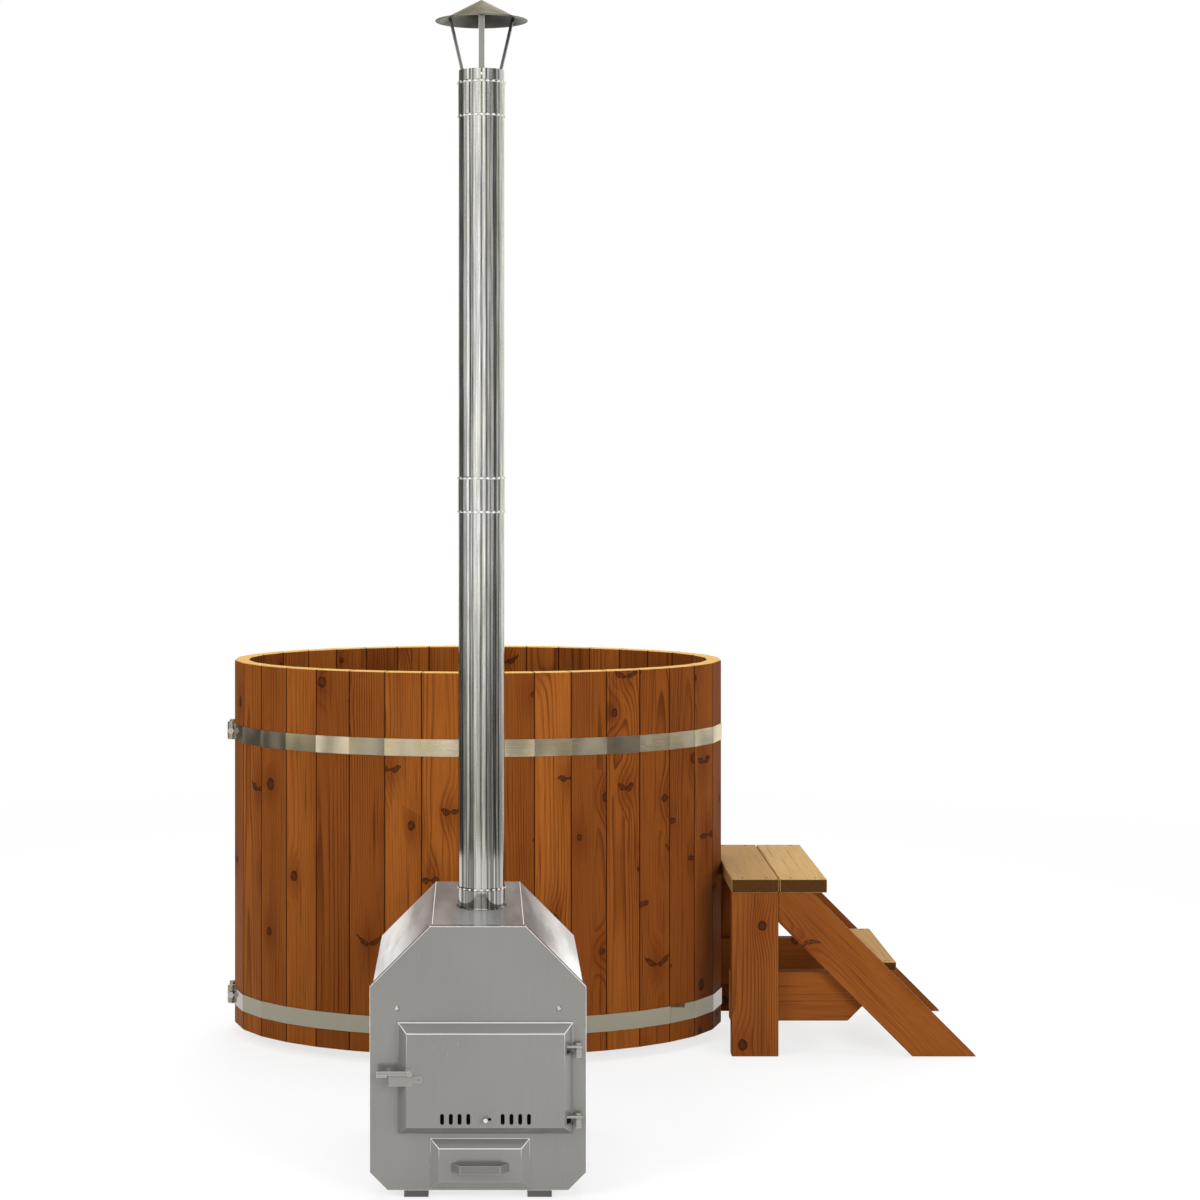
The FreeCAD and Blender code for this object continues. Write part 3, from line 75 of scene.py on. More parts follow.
class Wire:
    """One socket of a node tree. Sums and products of wires add Math nodes to that tree."""

    def __init__(self, socket):
        self.socket = socket
        self.tree = socket.id_data

    def node(self, kind, settings=None, sockets=None, output=0):
        """Any node: its settings first, then the values or links of its sockets."""
        made = self.tree.nodes.new(kind)
        for name, value in (settings or {}).items():
            setattr(made, name, value)
        for name, value in (sockets or {}).items():
            if isinstance(value, Wire):
                self.tree.links.new(value.socket, made.inputs[name])
            else:
                made.inputs[name].default_value = value
        return Wire(made.outputs[output])

    def geo(self, kind, **sockets):
        """A Geometry node; spaces in the names of its sockets are written as underscores."""
        named = {name.replace("_", " "): value for name, value in sockets.items()}
        return self.node("GeometryNode" + kind, {}, named)

    def math(self, operation, *values):
        return self.node("ShaderNodeMath", {"operation": operation}, dict(enumerate(values)))

    def vector(self, operation, other=None, output=0):
        sockets = {0: self}
        if operation == "SCALE":
            sockets["Scale"] = other
        elif other is not None:
            sockets[1] = other
        return self.node("ShaderNodeVectorMath", {"operation": operation}, sockets, output)

    __add__ = __radd__ = sign("ADD")
    __mul__ = __rmul__ = sign("MULTIPLY")
    __sub__, __rsub__ = sign("SUBTRACT"), sign("SUBTRACT", True)
    __truediv__, __rtruediv__ = sign("DIVIDE"), sign("DIVIDE", True)
    __pow__ = sign("POWER")
    over, highest, lowest = sign("GREATER_THAN"), sign("MAXIMUM"), sign("MINIMUM")

    def __abs__(self):
        return self.alone("ABSOLUTE")

    def alone(self, operation):
        """A Math function of this value only, such as SINE or FRACT."""
        return self.math(operation, self)

    def rise(self, low, high):
        """0 below low, 1 above high, smooth between."""
        settings = {"interpolation_type": "SMOOTHSTEP"}
        return self.node("ShaderNodeMapRange", settings, {"Value": self, "From Min": low, "From Max": high})

    def part(self, axis):
        return self.node("ShaderNodeSeparateXYZ", {}, {0: self}, axis)

    x, y, z = (property(lambda self, axis=axis: self.part(axis)) for axis in "XYZ")

    def mix(self, low, high):
        """This value as the share of high in a blend of two wires, screen colours or linear colours."""
        shades = [self, low, high]
        for k, shade in enumerate(shades):
            if isinstance(shade, tuple) and len(shade) == 3:
                shades[k] = colour(*shade)
        return self.node("ShaderNodeMix", {"data_type": "RGBA"}, dict(zip((0, 6, 7), shades)), 2)

    def noise(self, scale, detail=2.0, roughness=0.5):
        """Cloudy noise, 0 to 1, with one scale for each axis."""
        stretched = self.vector("MULTIPLY", scale)
        sockets = {"Vector": stretched, "Scale": 1.0, "Detail": detail, "Roughness": roughness}
        return stretched.node("ShaderNodeTexNoise", {}, sockets, "Fac")

    def random(self):
        return self.node("ShaderNodeTexWhiteNoise", {"noise_dimensions": "1D"}, {"W": self}, "Value")


def together(x, y, z):
    """Three values, of which at least one is a wire, as a vector."""
    wire = next(value for value in (x, y, z) if isinstance(value, Wire))
    return wire.node("ShaderNodeCombineXYZ", {}, {0: x, 1: y, 2: z})


def finish(name, roughness, metallic=0.0, specular=0.5):
    """A new material, its shader, and the wire of its Object coordinates."""
    material = bpy.data.materials.new(name)
    material.use_nodes = True
    shader = material.node_tree.nodes["Principled BSDF"]
    shader.inputs["Roughness"].default_value = roughness
    shader.inputs["Metallic"].default_value = metallic
    shader.inputs["Specular IOR Level"].default_value = specular
    place = material.node_tree.nodes.new("ShaderNodeTexCoord")
    return material, shader, Wire(place.outputs["Object"])


BUMP_STRENGTH = 0.6


def lay(shader, height=None, depth=0.0005, **sockets):
    """Links wires to the shader's sockets, and a height to its normal by way of a bump."""
    links = shader.id_data.links
    for name, wire in sockets.items():
        links.new(wire.socket, shader.inputs[name.replace("_", " ")])
    if height is not None:
        sockets = {"Strength": BUMP_STRENGTH, "Distance": depth, "Height": height}
        bump = height.node("ShaderNodeBump", {}, sockets, "Normal")
        links.new(bump.socket, shader.inputs["Normal"])


def own(shader, name, output="Fac"):
    """The wire of an attribute that the piece's own mesh holds."""
    made = shader.id_data.nodes.new("ShaderNodeAttribute")
    made.attribute_name = name
    return Wire(made.outputs[output])


RING_WIDTH, RING_PUSH = 0.0052, 0.012
TONE_STEPS = (0.13, 7.31, 15.77, 3.90)
KNOT_SPACING = (0.12, 0.31)
KNOT_JITTER, WINGED_FROM = 0.85, 0.50
DISC_LEAST, DISC_MORE = 0.0070, 0.010
SPAN_LEAST, SPAN_MORE = 0.026, 0.024
LIFT_LEAST, LIFT_MORE = -1.0, 1.8
WING_THICK, WING_THIN = 0.0100, 0.0018
HALO_STRETCH, HALO_FALL = 0.20, -1100
KNOT_COLOUR = (44, 21, 11)
KNOT_HEART = (108, 60, 32)
KNOT_HALO = (104, 46, 14)
SEAM_GRIME_AND_SHADE = (44, 20, 6)
SEAM_REACH = (0.0008, 0.0050)


def disc_knot(aside, above, radius, wander):
    """A round knot: how far it covers the wood, and its paler heart."""
    reach = ((aside * aside + above * above * 0.7) ** 0.5 + wander * 0.006) / radius
    return 1 - reach.rise(0.80, 1.05), 1 - reach.rise(0.25, 0.85)


def wing_knot(aside, above, span, lift, wander):
    """A branch cut lengthwise: two dark lobes that rise to both sides from a thin middle."""
    share = (abs(aside) / span).lowest(1.0)
    lobe = share * (1 - share) * 4
    away = abs(above - share * share * span * lift + wander * 0.020)
    bow = away / (lobe * WING_THICK + WING_THIN)
    return (1 - bow.rise(0.55, 1.0)) * (1 - share.rise(0.90, 1.0)), (1 - bow.rise(0.10, 0.6)) * lobe


def knot_halo(aside, above):
    """How far a knot darkens the wood round it and pushes its rings aside."""
    return ((aside * aside + above * above * HALO_STRETCH) * HALO_FALL).alone("EXPONENT")


def sawn_wood(shader, grain, tone, shades, end, end_shade, knots, contrast, marks=(), edge=None):
    """Sawn pine. Grain holds metres across, through and along the board, tone a number for each board."""
    draw = [(tone + step).random() for step in TONE_STEPS]
    apart = grain.vector("ADD", together(tone * 3.7, tone * 1.9, tone * 5.3))
    across, through, along = (grain.part(axis) for axis in "XYZ")
    wander = apart.noise((60, 60, 42), 2.0) - 0.5

    # Knots: scattered cells, each with a disc or a pair of wings, and the marked ones
    cell_x = across / KNOT_SPACING[0] + tone * 7.13
    cell_z = along / KNOT_SPACING[1] + tone * 3.37
    cells = {"Vector": together(cell_x, cell_z, 0.0), "Scale": 1.0, "Randomness": KNOT_JITTER}
    spot = cell_x.node("ShaderNodeTexVoronoi", {"voronoi_dimensions": "2D"}, cells, "Position")
    lot = spot.node("ShaderNodeTexWhiteNoise", {"noise_dimensions": "2D"}, {"Vector": spot}, "Color")
    chance, girth, kind = (lot.part(axis) for axis in "XYZ")
    there = 1 - chance.over(knots)
    winged = kind.over(WINGED_FROM)
    aside = (cell_x - spot.x) * KNOT_SPACING[0]
    above = (cell_z - spot.y) * KNOT_SPACING[1]
    disc, core = disc_knot(aside, above, girth * DISC_MORE + DISC_LEAST, wander)
    span, lift = girth * SPAN_MORE + SPAN_LEAST, kind * LIFT_MORE + LIFT_LEAST
    wings, pith = wing_knot(aside, above, span, lift, wander)
    mottle = apart.noise((170, 170, 90), 2.0).rise(0.25, 0.60)
    knot = (disc * (1 - winged) + wings * winged) * there * (mottle * 0.5 + 0.5)
    heart = (core * (1 - winged) * 0.6 + pith * winged * 0.7) * there
    halo = knot_halo(aside, above) * there
    for mark_x, mark_z, radius in marks:
        mark_aside, mark_above = across - mark_x, along - mark_z
        disc, core = disc_knot(mark_aside, mark_above, radius, wander)
        knot, heart = knot.highest(disc), heart.highest(core * 0.35)
        halo = halo.highest(knot_halo(mark_aside, mark_above))

    # Growth rings: distance from a pith beside the board, drifting along it, pushed aside by the knots
    sway = apart.noise((4, 4, 0.9), 1.0) - 0.5
    ripple = apart.noise((24, 24, 3.0), 1.0) - 0.5
    side = across - (draw[0] * 0.20 - 0.045)
    deep = through + (draw[1] * 0.10 + 0.020)
    ring = (side * side + deep * deep) ** 0.5 + sway * 0.020 + ripple * 0.0035
    ring = ring + along * 0.006 + halo * RING_PUSH
    phase = (ring / (draw[2] * 0.7 + 0.65) / RING_WIDTH).alone("FRACT")
    late = phase.rise(0.45, 0.90) * (1 - phase.rise(0.92, 1.0))
    plain = apart.noise((14, 14, 1.1), 1.0).rise(0.36, 0.66) * 0.75 + 0.25
    fibre = apart.noise((430, 430, 7.0), 3.0, 0.6)
    streak = apart.noise((150, 150, 2.4), 2.0).rise(0.58, 0.74)
    drift = apart.noise((9, 9, 1.4), 2.0)

    pale, deep_shade, dark = shades
    body = draw[3].mix(pale, deep_shade)
    body = (drift.rise(0.38, 0.72) * 0.5).mix(body, deep_shade)
    body = (late * plain * contrast).mix(body, dark)
    body = (fibre.rise(0.46, 0.76) * 0.46 + streak * 0.66).mix(body, dark)
    body = (halo * 0.55).mix(body, KNOT_HALO)
    face = (knot * 0.92).mix(body, KNOT_COLOUR)
    face = (heart * 0.70).mix(face, KNOT_HEART)
    end_face = (late * 0.30 + fibre.rise(0.4, 0.8) * 0.20).mix(end_shade, dark)
    whole = end.mix(face, end_face)
    # Near each edge the colour darkens towards the seam colour: grime in the joint, and painted shade of the
    # V groove between the boards.
    if edge is not None:
        whole = ((1 - edge.rise(*SEAM_REACH)) * 0.85).mix(whole, SEAM_GRIME_AND_SHADE)
    lay(
        shader,
        height=fibre * 0.35 - late * 0.35 - knot * 0.5,
        Base_Color=whole,
        Roughness=fibre * 0.18 + knot * 0.1 + 0.42,
    )


def board_pine(name, tone, shades, end_shade, knots, contrast, marks=(), specular=0.04, edge=None):
    """Sawn pine for a mesh that holds its boards' grain, ends and numbers, and maybe their edges."""
    material, shader, _ = finish(name, 0.5, specular=specular)
    grain, end = own(shader, "grain", "Vector"), own(shader, "end")
    seam = own(shader, edge) if edge else None
    sawn_wood(shader, grain, own(shader, tone), shades, end, end_shade, knots, contrast, marks, seam)
    return material


STAVE_SHADES = ((184, 106, 41), (138, 74, 27), (72, 30, 9))
# The pale end shade paints the light from above onto the rim's upward end grain.
stave_finish = board_pine(
    "oiled_stave_pine", "stave", STAVE_SHADES, (250, 200, 116), 0.66, 0.70, specular=0.02, edge="edge"
)


def baked(name, shape):
    """The mesh of a finished shape."""
    mesh = bpy.data.meshes.new(name)
    shape.to_mesh(mesh)
    shape.free()
    return mesh


def rule_tree(name, **inputs):
    """An empty tree with a geometry in and out and named inputs, and the wires of those inputs."""
    tree = bpy.data.node_groups.new(name, "GeometryNodeTree")
    for label, kind in {"Geometry": "Geometry", **inputs}.items():
        label = label.replace("_", " ")
        tree.interface.new_socket(label, in_out="INPUT", socket_type=f"NodeSocket{kind}")
    tree.interface.new_socket("Geometry", in_out="OUTPUT", socket_type="NodeSocketGeometry")
    start = tree.nodes.new("NodeGroupInput")
    return tree, {socket.name: Wire(socket) for socket in start.outputs if socket.name}


def close_tree(geometry, material):
    """Ends a tree: instances made real, material set, geometry out."""
    real = geometry.geo("RealizeInstances", Geometry=geometry)
    dressed = real.geo("SetMaterial", Geometry=real, Material=material)
    end = geometry.tree.nodes.new("NodeGroupOutput")
    geometry.tree.links.new(dressed.socket, end.inputs[0])


def kept(geometry, name, kind, value):
    """The geometry with a value stored on its points."""
    settings = {"data_type": kind, "domain": "POINT"}
    return geometry.node(
        "GeometryNodeStoreNamedAttribute", settings, {"Geometry": geometry, "Name": name, "Value": value}
    )


def placed(name, data):
    """A new object in the scene that holds the data."""
    made = bpy.data.objects.new(name, data)
    bpy.context.scene.collection.objects.link(made)
    return made


def piece(name, mesh, body, slot, *replaced):
    """A finished mesh in the row frame: it rides on a body and stands for the nodes named last."""
    made = placed(name, mesh)
    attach(made, body)
    if replaced:
        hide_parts(*replaced)


def grown(name, tree, seed_mesh, **values):
    """The plain mesh that a tree makes from a seed mesh and the values of its inputs."""
    holder = placed(name, seed_mesh)
    rule = holder.modifiers.new("rule", "NODES")
    rule.node_group = tree
    for item in tree.interface.items_tree:
        key = item.name.replace(" ", "_")
        if item.in_out == "INPUT" and key in values:
            rule[item.identifier] = values[key]
    graph = bpy.context.evaluated_depsgraph_get()
    mesh = bpy.data.meshes.new_from_object(
        holder.evaluated_get(graph), preserve_all_data_layers=True, depsgraph=graph
    )
    bpy.data.objects.remove(holder)
    mesh.name = name
    return mesh


ROUND = {"profile": 0.5, "affect": "EDGES"}
EASE_STEPS = 3

# One stave, flattened to shares of its width and thickness; the tree below sets a ring of them on the oval.
stave_size = Vector((STAVE_WIDTH, STAVE_THICKNESS, STAVE_TOP - STAVE_FOOT))
stave_shape = bmesh.new()
bmesh.ops.create_cube(stave_shape, size=1.0)
for vert in stave_shape.verts:
    vert.co = (vert.co + Vector((0.5, 0.5, 0.5))) * stave_size
bmesh.ops.bevel(stave_shape, geom=stave_shape.edges[:], offset=STAVE_EASE, segments=EASE_STEPS, **ROUND)
ends = [float(abs(face.normal.z) > STAVE_END_FACING) for face in stave_shape.faces]
for vert in stave_shape.verts:
    share = vert.co.x / STAVE_WIDTH
    vert.co.x = STAVE_JOINT + share * (1 - 2 * STAVE_JOINT)
    vert.co.y /= STAVE_THICKNESS
    vert.co.z += STAVE_FOOT
stave_seed = baked("one_stave", stave_shape)
stave_seed.attributes.new("end", "FLOAT", "FACE").data.foreach_set("value", ends)

stave_tree, put = rule_tree(
    "stave_ring", Length="Float", Width="Float", Count="Int", Thickness="Float", Finish="Material"
)
circle = put["Count"].geo("CurvePrimitiveCircle", Resolution=OVAL_POINTS, Radius=1.0)
turned_round = circle.geo("Transform", Geometry=circle, Rotation=(0.0, 0.0, -math.pi / 2))
oval_size = together(put["Length"] / 2, put["Width"] / 2, 1.0)
oval = circle.geo("Transform", Geometry=turned_round, Scale=oval_size)


def on_oval(share):
    sockets = {"Curves": oval, "Factor": share.alone("FRACT")}
    return oval.node("GeometryNodeSampleCurve", {"mode": "FACTOR"}, sockets, "Position")


# The facets at the oval's ends and sides lie at its full length and width, so corners are spread a little.
half_step = 0.5 / put["Count"]
spread = together(
    put["Length"] / 2 / on_oval(0.25 - half_step).x,
    put["Width"] / 2 / on_oval(0.5 - half_step).y,
    1.0,
)
stave_index = put["Count"].node("GeometryNodeInputNamedAttribute", {"data_type": "FLOAT"}, {"Name": "stave"})


def stave_corner(step):
    return on_oval((stave_index + step) / put["Count"]).vector("MULTIPLY", spread)


def inner_corner(before, here, after):
    """The mitre of two neighbouring staves, one thickness further in."""
    along_a = here.vector("SUBTRACT", before).vector("NORMALIZE")
    along_b = after.vector("SUBTRACT", here).vector("NORMALIZE")
    middle = along_a.vector("ADD", along_b).vector("NORMALIZE")
    reach = put["Thickness"] / middle.vector("DOT_PRODUCT", along_b, "Value")
    inward = together(middle.y * -1, middle.x, 0.0)
    return here.vector("ADD", inward.vector("SCALE", reach))


corners = [stave_corner(step) for step in (-1.5, -0.5, 0.5, 1.5)]
inner_a = inner_corner(corners[0], corners[1], corners[2])
inner_b = inner_corner(corners[1], corners[2], corners[3])
spots = put["Count"].geo("Points", Count=put["Count"])
numbered = kept(spots, "stave", "FLOAT", spots.geo("InputIndex"))
copies = spots.geo("InstanceOnPoints", Points=numbered, Instance=put["Geometry"])
real = copies.geo("RealizeInstances", Geometry=copies)
shares = real.geo("InputPosition")
sideways, inwards = shares.x, shares.y
facet = corners[2].vector("SUBTRACT", corners[1])
facet_width = facet.vector("LENGTH", None, "Value")
real = kept(real, "edge", "FLOAT", (0.5 - abs(sideways - 0.5)) * facet_width)
board_place = together(sideways * facet_width, inwards * put["Thickness"], shares.z)
real = kept(real, "grain", "FLOAT_VECTOR", board_place)
front = corners[1].vector("ADD", facet.vector("SCALE", sideways))
rear = inner_a.vector("ADD", inner_b.vector("SUBTRACT", inner_a).vector("SCALE", sideways))
level = front.vector("ADD", rear.vector("SUBTRACT", front).vector("SCALE", inwards))
standing = level.vector("ADD", together(0.0, 0.0, shares.z))
close_tree(real.geo("SetPosition", Geometry=real, Position=standing), put["Finish"])

stave_mesh = grown(
    "stave_ring", stave_tree, stave_seed,
    Length=TUB_LENGTH, Width=TUB_WIDTH, Count=STAVE_COUNT, Thickness=STAVE_THICKNESS, Finish=stave_finish,
)
piece("stave_ring", stave_mesh, ROOT, "tub_wood", "staves", "port_stave", "drain_stave")

# Floor, its bearers and the bench. Planed boards of the same pine, a little duller, laid loose:
# the floor in the staves' groove, the bench boards on legs and cleats.

FLOOR_BOARD, FLOOR_ROWS = 0.118, 8
BENCH_REACH, SEAT_EDGE = 0.310, 0.3925
SEAT_BOARD, SEAT_ROWS = BENCH_REACH / 3, 8
LEG_PITCH = 0.3
INSIDE_SHADES = ((160, 96, 46), (126, 70, 31), (80, 42, 17))


def laid_boards(name, across_axis, along_axis, pitch, start):
    """Wood for a CAD node of boards side by side: each pitch across is one board."""
    material, shader, place = finish(name, 0.5, specular=0.04)
    across = place.part(across_axis) - start
    row = (across / pitch).alone("FLOOR")
    grain = together(across - row * pitch, place.z, place.part(along_axis))
    sawn_wood(shader, grain, row * 1.37 + 4.2, INSIDE_SHADES, row * 0.0, INSIDE_SHADES[0], 0.4, 0.5)
    return material


def dress(material, *names):
    """A finish for CAD nodes that are shown as they are."""
    for name in names:
        nodes[name].data.materials[0] = material


floor_finish = laid_boards("floor_pine", "Y", "X", FLOOR_BOARD, -FLOOR_ROWS / 2 * FLOOR_BOARD)
dress(floor_finish, "floor_boards", "floor_bearers")
seat_finish = laid_boards("bench_pine", "X", "Y", SEAT_BOARD, SEAT_EDGE - SEAT_ROWS * SEAT_BOARD)
dress(seat_finish, "bench_boards", "bench_cleats")
dress(laid_boards("bench_leg_pine", "X", "Z", LEG_PITCH, -2 * LEG_PITCH), "bench_legs")

# Hoops and their lugs. Flat bands of bright rolled stainless steel, drawn tight on the staves by a
# bolt between two barrels at the left; each flat of the band mirrors its own strip of the room.

# The near-white colour of the painted highlight on folds.
FOLD_HIGHLIGHT = (244, 243, 240)
LINE_DEPTH, LINE_SHADE = 0.00005, 0.75
WELD = 1e-6
FLAT, BENT = math.radians(0.5), 0.01


def rolled_steel(
    name, shade, roughness, streak, strength=0.08, dirt=0.15, fold=0.7, metallic=1.0, pressed=None
):
    """Stainless sheet with fine drawn lines and a painted highlight on its folds; streak is the noise scale
    for each axis.
    """
    material, shader, place = finish(name, roughness, metallic)
    lines = place.noise(streak, 3.0, 0.6)
    smudge = place.noise((4, 4, 4), 1.0).rise(0.36, 0.66) * dirt
    darker = tuple(value * LINE_SHADE for value in colour(*shade)[:3]) + (1.0,)
    # The folds carry a painted highlight: mixed towards near white and made less metallic, so they stay
    # bright under any light.
    fold_highlight = own(shader, "fold") * fold if pressed is None else pressed(place)
    tint = (lines.rise(0.3, 0.75) * 0.16 + smudge).mix(shade, darker)
    lay(
        shader,
        height=lines,
        depth=LINE_DEPTH,
        Base_Color=fold_highlight.mix(tint, FOLD_HIGHLIGHT),
        Roughness=lines * strength + smudge * 0.4 + (roughness - strength / 2),
        Metallic=metallic * (1 - fold_highlight * 0.6),
    )
    return material


def eased_copy(name, ease, segments=2, smooth=30):
    """A merged copy of a CAD node with its sharp edges rounded and marked as folds."""
    turn = math.radians(smooth)
    shape = bmesh.new()
    shape.from_mesh(nodes[name].data)
    mark = shape.faces.layers.float.new("fold")
    bmesh.ops.remove_doubles(shape, verts=shape.verts[:], dist=WELD)
    bmesh.ops.dissolve_limit(shape, angle_limit=FLAT, verts=shape.verts[:], edges=shape.edges[:])
    sharp = [edge for edge in shape.edges if edge.calc_face_angle(0.0) > turn]
    rounded = bmesh.ops.bevel(shape, geom=sharp, offset=ease, segments=segments, clamp_overlap=True, **ROUND)
    folds = set(rounded["faces"])
    for face in shape.faces:
        face[mark] = float(face in folds)
        face.smooth = face in folds or any(
            BENT < edge.calc_face_angle(0.0) < turn
            for edge in face.edges if not folds.intersection(edge.link_faces)
        )
    for edge in shape.edges:
        edge.smooth = edge.calc_face_angle(0.0) < turn
    return baked(name + "_eased", shape)


def steel_pieces(names, body, slot, material, ease, segments=2, smooth=30):
    """Eased copies of CAD nodes of one body and one finish; a space parts their names."""
    for name in names.split():
        mesh = eased_copy(name, ease, segments, smooth)
        mesh.materials.append(material)
        piece(name + "_eased", mesh, body, slot, name)


# The hoops are one steel: their warm tints, and the lower hoop's darker one, are painted reflections of the
# ground and surroundings.
HOOP_REFLECTION_TINTS = {"upper_hoop": (172, 160, 136), "lower_hoop": (146, 140, 124)}
for name, shade in HOOP_REFLECTION_TINTS.items():
    hoop_finish = rolled_steel(name + "_band", shade, 0.022, (3, 3, 420), 0.012, 0.03, metallic=0.84)
    steel_pieces(name, ROOT, "hoop_steel", hoop_finish, 0.0004, segments=1, smooth=5)
lug_finish = rolled_steel("turned_lug_steel", (180, 180, 177), 0.24, (60, 60, 260))
steel_pieces("hoop_barrels hoop_bolts hoop_nuts", ROOT, "lug_steel", lug_finish, 0.0007)

# Water fittings and hoses. Turned stainless ports through the front stave, black rubber hoses
# pushed over them and over the stove's nipples, and worm-drive clamps.

port_finish = rolled_steel("turned_port_steel", (178, 178, 175), 0.3, (200, 12, 200))
steel_pieces("port_fittings port_locknuts stove_nipples", ROOT, "port_steel", port_finish, 0.0008)
clamp_finish = rolled_steel("clamp_band", (196, 196, 193), 0.25, (30, 500, 30))
steel_pieces("hose_clamps", ROOT, "clamp_steel", clamp_finish, 0.0003)


def black_rubber(name, shade, weave):
    material, shader, place = finish(name, 0.55, specular=0.3)
    cloth = place.noise(weave, 2.0)
    dust = place.noise((14, 14, 14), 4.0).rise(0.5, 0.8)
    tint = (dust * 0.5).mix(shade, (74, 72, 68))
    lay(shader, height=cloth, depth=0.0006, Base_Color=tint, Roughness=dust * 0.2 + cloth * 0.1 + 0.45)
    return material


dress(black_rubber("hose_rubber", (34, 34, 36), (220, 160, 220)), "water_hoses")
dress(black_rubber("gasket_rubber", (26, 26, 27), (500, 500, 500)), "port_gaskets")

# Drain. A brass fitting through the back stave, a quarter-turn ball valve with a red dipped lever,
# and a plain tail for a hose.

brass_finish = rolled_steel("drain_brass", (196, 160, 92), 0.3, (220, 20, 220), 0.12, 0.4, 0.3)
steel_pieces("drain_fitting drain_nut drain_valve drain_tail", ROOT, "drain_brass", brass_finish, 0.0008)
ball_finish = rolled_steel("drain_ball_chrome", (214, 214, 212), 0.12, (90, 90, 90))
steel_pieces("drain_ball", "valve", "drain_chrome", ball_finish, 0.0003)
lever_finish, shader, place = finish("lever_dip", 0.35)
worn = place.noise((60, 60, 60), 4.0).rise(0.6, 0.75)
lay(
    shader,
    height=worn,
    depth=0.0003,
    Base_Color=(worn * 0.5).mix((172, 28, 20), (120, 22, 18)),
    Roughness=worn * 0.25 + 0.33,
)
steel_pieces("drain_lever", "valve", "lever_paint", lever_finish, 0.0012)

# Stove casing. Two folded front and back pans and an eight-sided shell of brushed stainless sheet,
# standing on two folded skids. The folds are rounded, and carry a painted highlight.

STOVE_SHADE, ROOF_SLOPE_HIGHLIGHT = (132, 131, 127), (250, 250, 248)
EAVES, RIDGE, ROOF_TOP = 0.47, 0.51, 0.648
BRUSHED = {
    "roughness": 0.20, "streak": (420, 420, 9), "strength": 0.06, "dirt": 0.16, "fold": 0.8, "metallic": 0.5
}
SATIN = {**BRUSHED, "roughness": 0.5, "dirt": 0.36, "metallic": 0.25}
SHEET_EASE = 0.0026
stove_finish = rolled_steel("brushed_stove_sheet", STOVE_SHADE, **BRUSHED)
steel_pieces("stove_front", ROOT, "stove_steel", stove_finish, SHEET_EASE, EASE_STEPS)
# The back pan is the same sheet, painted paler: painted light to lift the back, which sits in the tub's
# shade.
back_finish = rolled_steel("satin_back_sheet", (168, 167, 163), **SATIN)
steel_pieces("stove_back", ROOT, "stove_steel", back_finish, SHEET_EASE, EASE_STEPS)
roof_finish, shader, place = finish("satin_roof_sheet", 0.3, metallic=0.35, specular=0.0)
roof_height = place.z
roof_bands = place.noise((13, 2.2, 13), 3.0).rise(0.34, 0.66)
roof_lines = place.noise((420, 9, 420), 3.0, 0.6)
# The slopes between eaves and ridge are painted near white in bands, and made rougher: a painted highlight
# of the light from above.
slope = roof_height.rise(EAVES, RIDGE) * (1 - roof_height.rise(RIDGE, ROOF_TOP))
roof_tint = roof_bands.mix((120, 120, 118), (148, 148, 145))
roof_tint = (slope * (roof_bands * 0.5 + 0.6)).mix(roof_tint, ROOF_SLOPE_HIGHLIGHT)
# The roof's folds get a near-white painted highlight.
lay(
    shader,
    height=roof_lines,
    depth=LINE_DEPTH,
    Base_Color=own(shader, "fold").mix(roof_tint, (250, 249, 246)),
    Roughness=roof_lines * 0.08 + slope * 0.2 + 0.12,
)
steel_pieces("stove_shell", ROOT, "stove_steel", roof_finish, SHEET_EASE, EASE_STEPS)
skid_finish = rolled_steel("mill_skid_sheet", (104, 103, 100), 0.42, (40, 6, 40), 0.10, 0.3, 0.2)
steel_pieces("stove_skids drawer_guides", ROOT, "skid_steel", skid_finish, 0.0008)
screw_finish = rolled_steel("bright_screw_steel", (205, 205, 202), 0.2, (90, 90, 90))
dress(screw_finish, "panel_screws")

# Firebox, water jacket and grate. Welded steel plate, dulled by soot inside, round a cast iron grate.

soot_finish, shader, place = finish("sooty_plate", 0.7, metallic=0.6)
soot = place.noise((11, 11, 11), 5.0, 0.6).rise(0.3, 0.7)
lay(
    shader,
    height=place.noise((240, 240, 240), 3.0),
    depth=0.0004,
    Base_Color=soot.mix((92, 86, 80), (34, 31, 29)),
    Roughness=soot * 0.3 + 0.5,
    Metallic=0.8 - soot * 0.6,
)
dress(soot_finish, "firebox", "water_jacket")
iron_finish, shader, place = finish("cast_grate", 0.75, metallic=0.4)
iron_grit = place.noise((420, 420, 420), 3.0)
iron_rust = place.noise((26, 26, 26), 4.0).rise(0.52, 0.72)
lay(
    shader,
    height=iron_grit,
    depth=0.0008,
    Base_Color=iron_rust.mix((46, 44, 43), (86, 56, 38)),
    Roughness=iron_grit * 0.2 + 0.62,
)
steel_pieces("fire_grate", ROOT, "grate_iron", iron_finish, 0.0015)

# Fire door. A pressed pan of the stove's sheet with sloping sides and rounded air slots, a heat-tinted
# liner and a flat rope seal behind it; hinge lugs and pins at the right, damper strip and knob in front.

SLOT_FOOT, SLOT_TOP = 0.182, 0.208
# How far the painted shade behind the air slots reaches below and above them.
SLOT_SHADE_BELOW, SLOT_SHADE_ABOVE = 0.012, 0.020
PRESS_SLOPE, PRESS_FOLD, PRESS_EASE = 0.0215, 0.0016, 0.0012


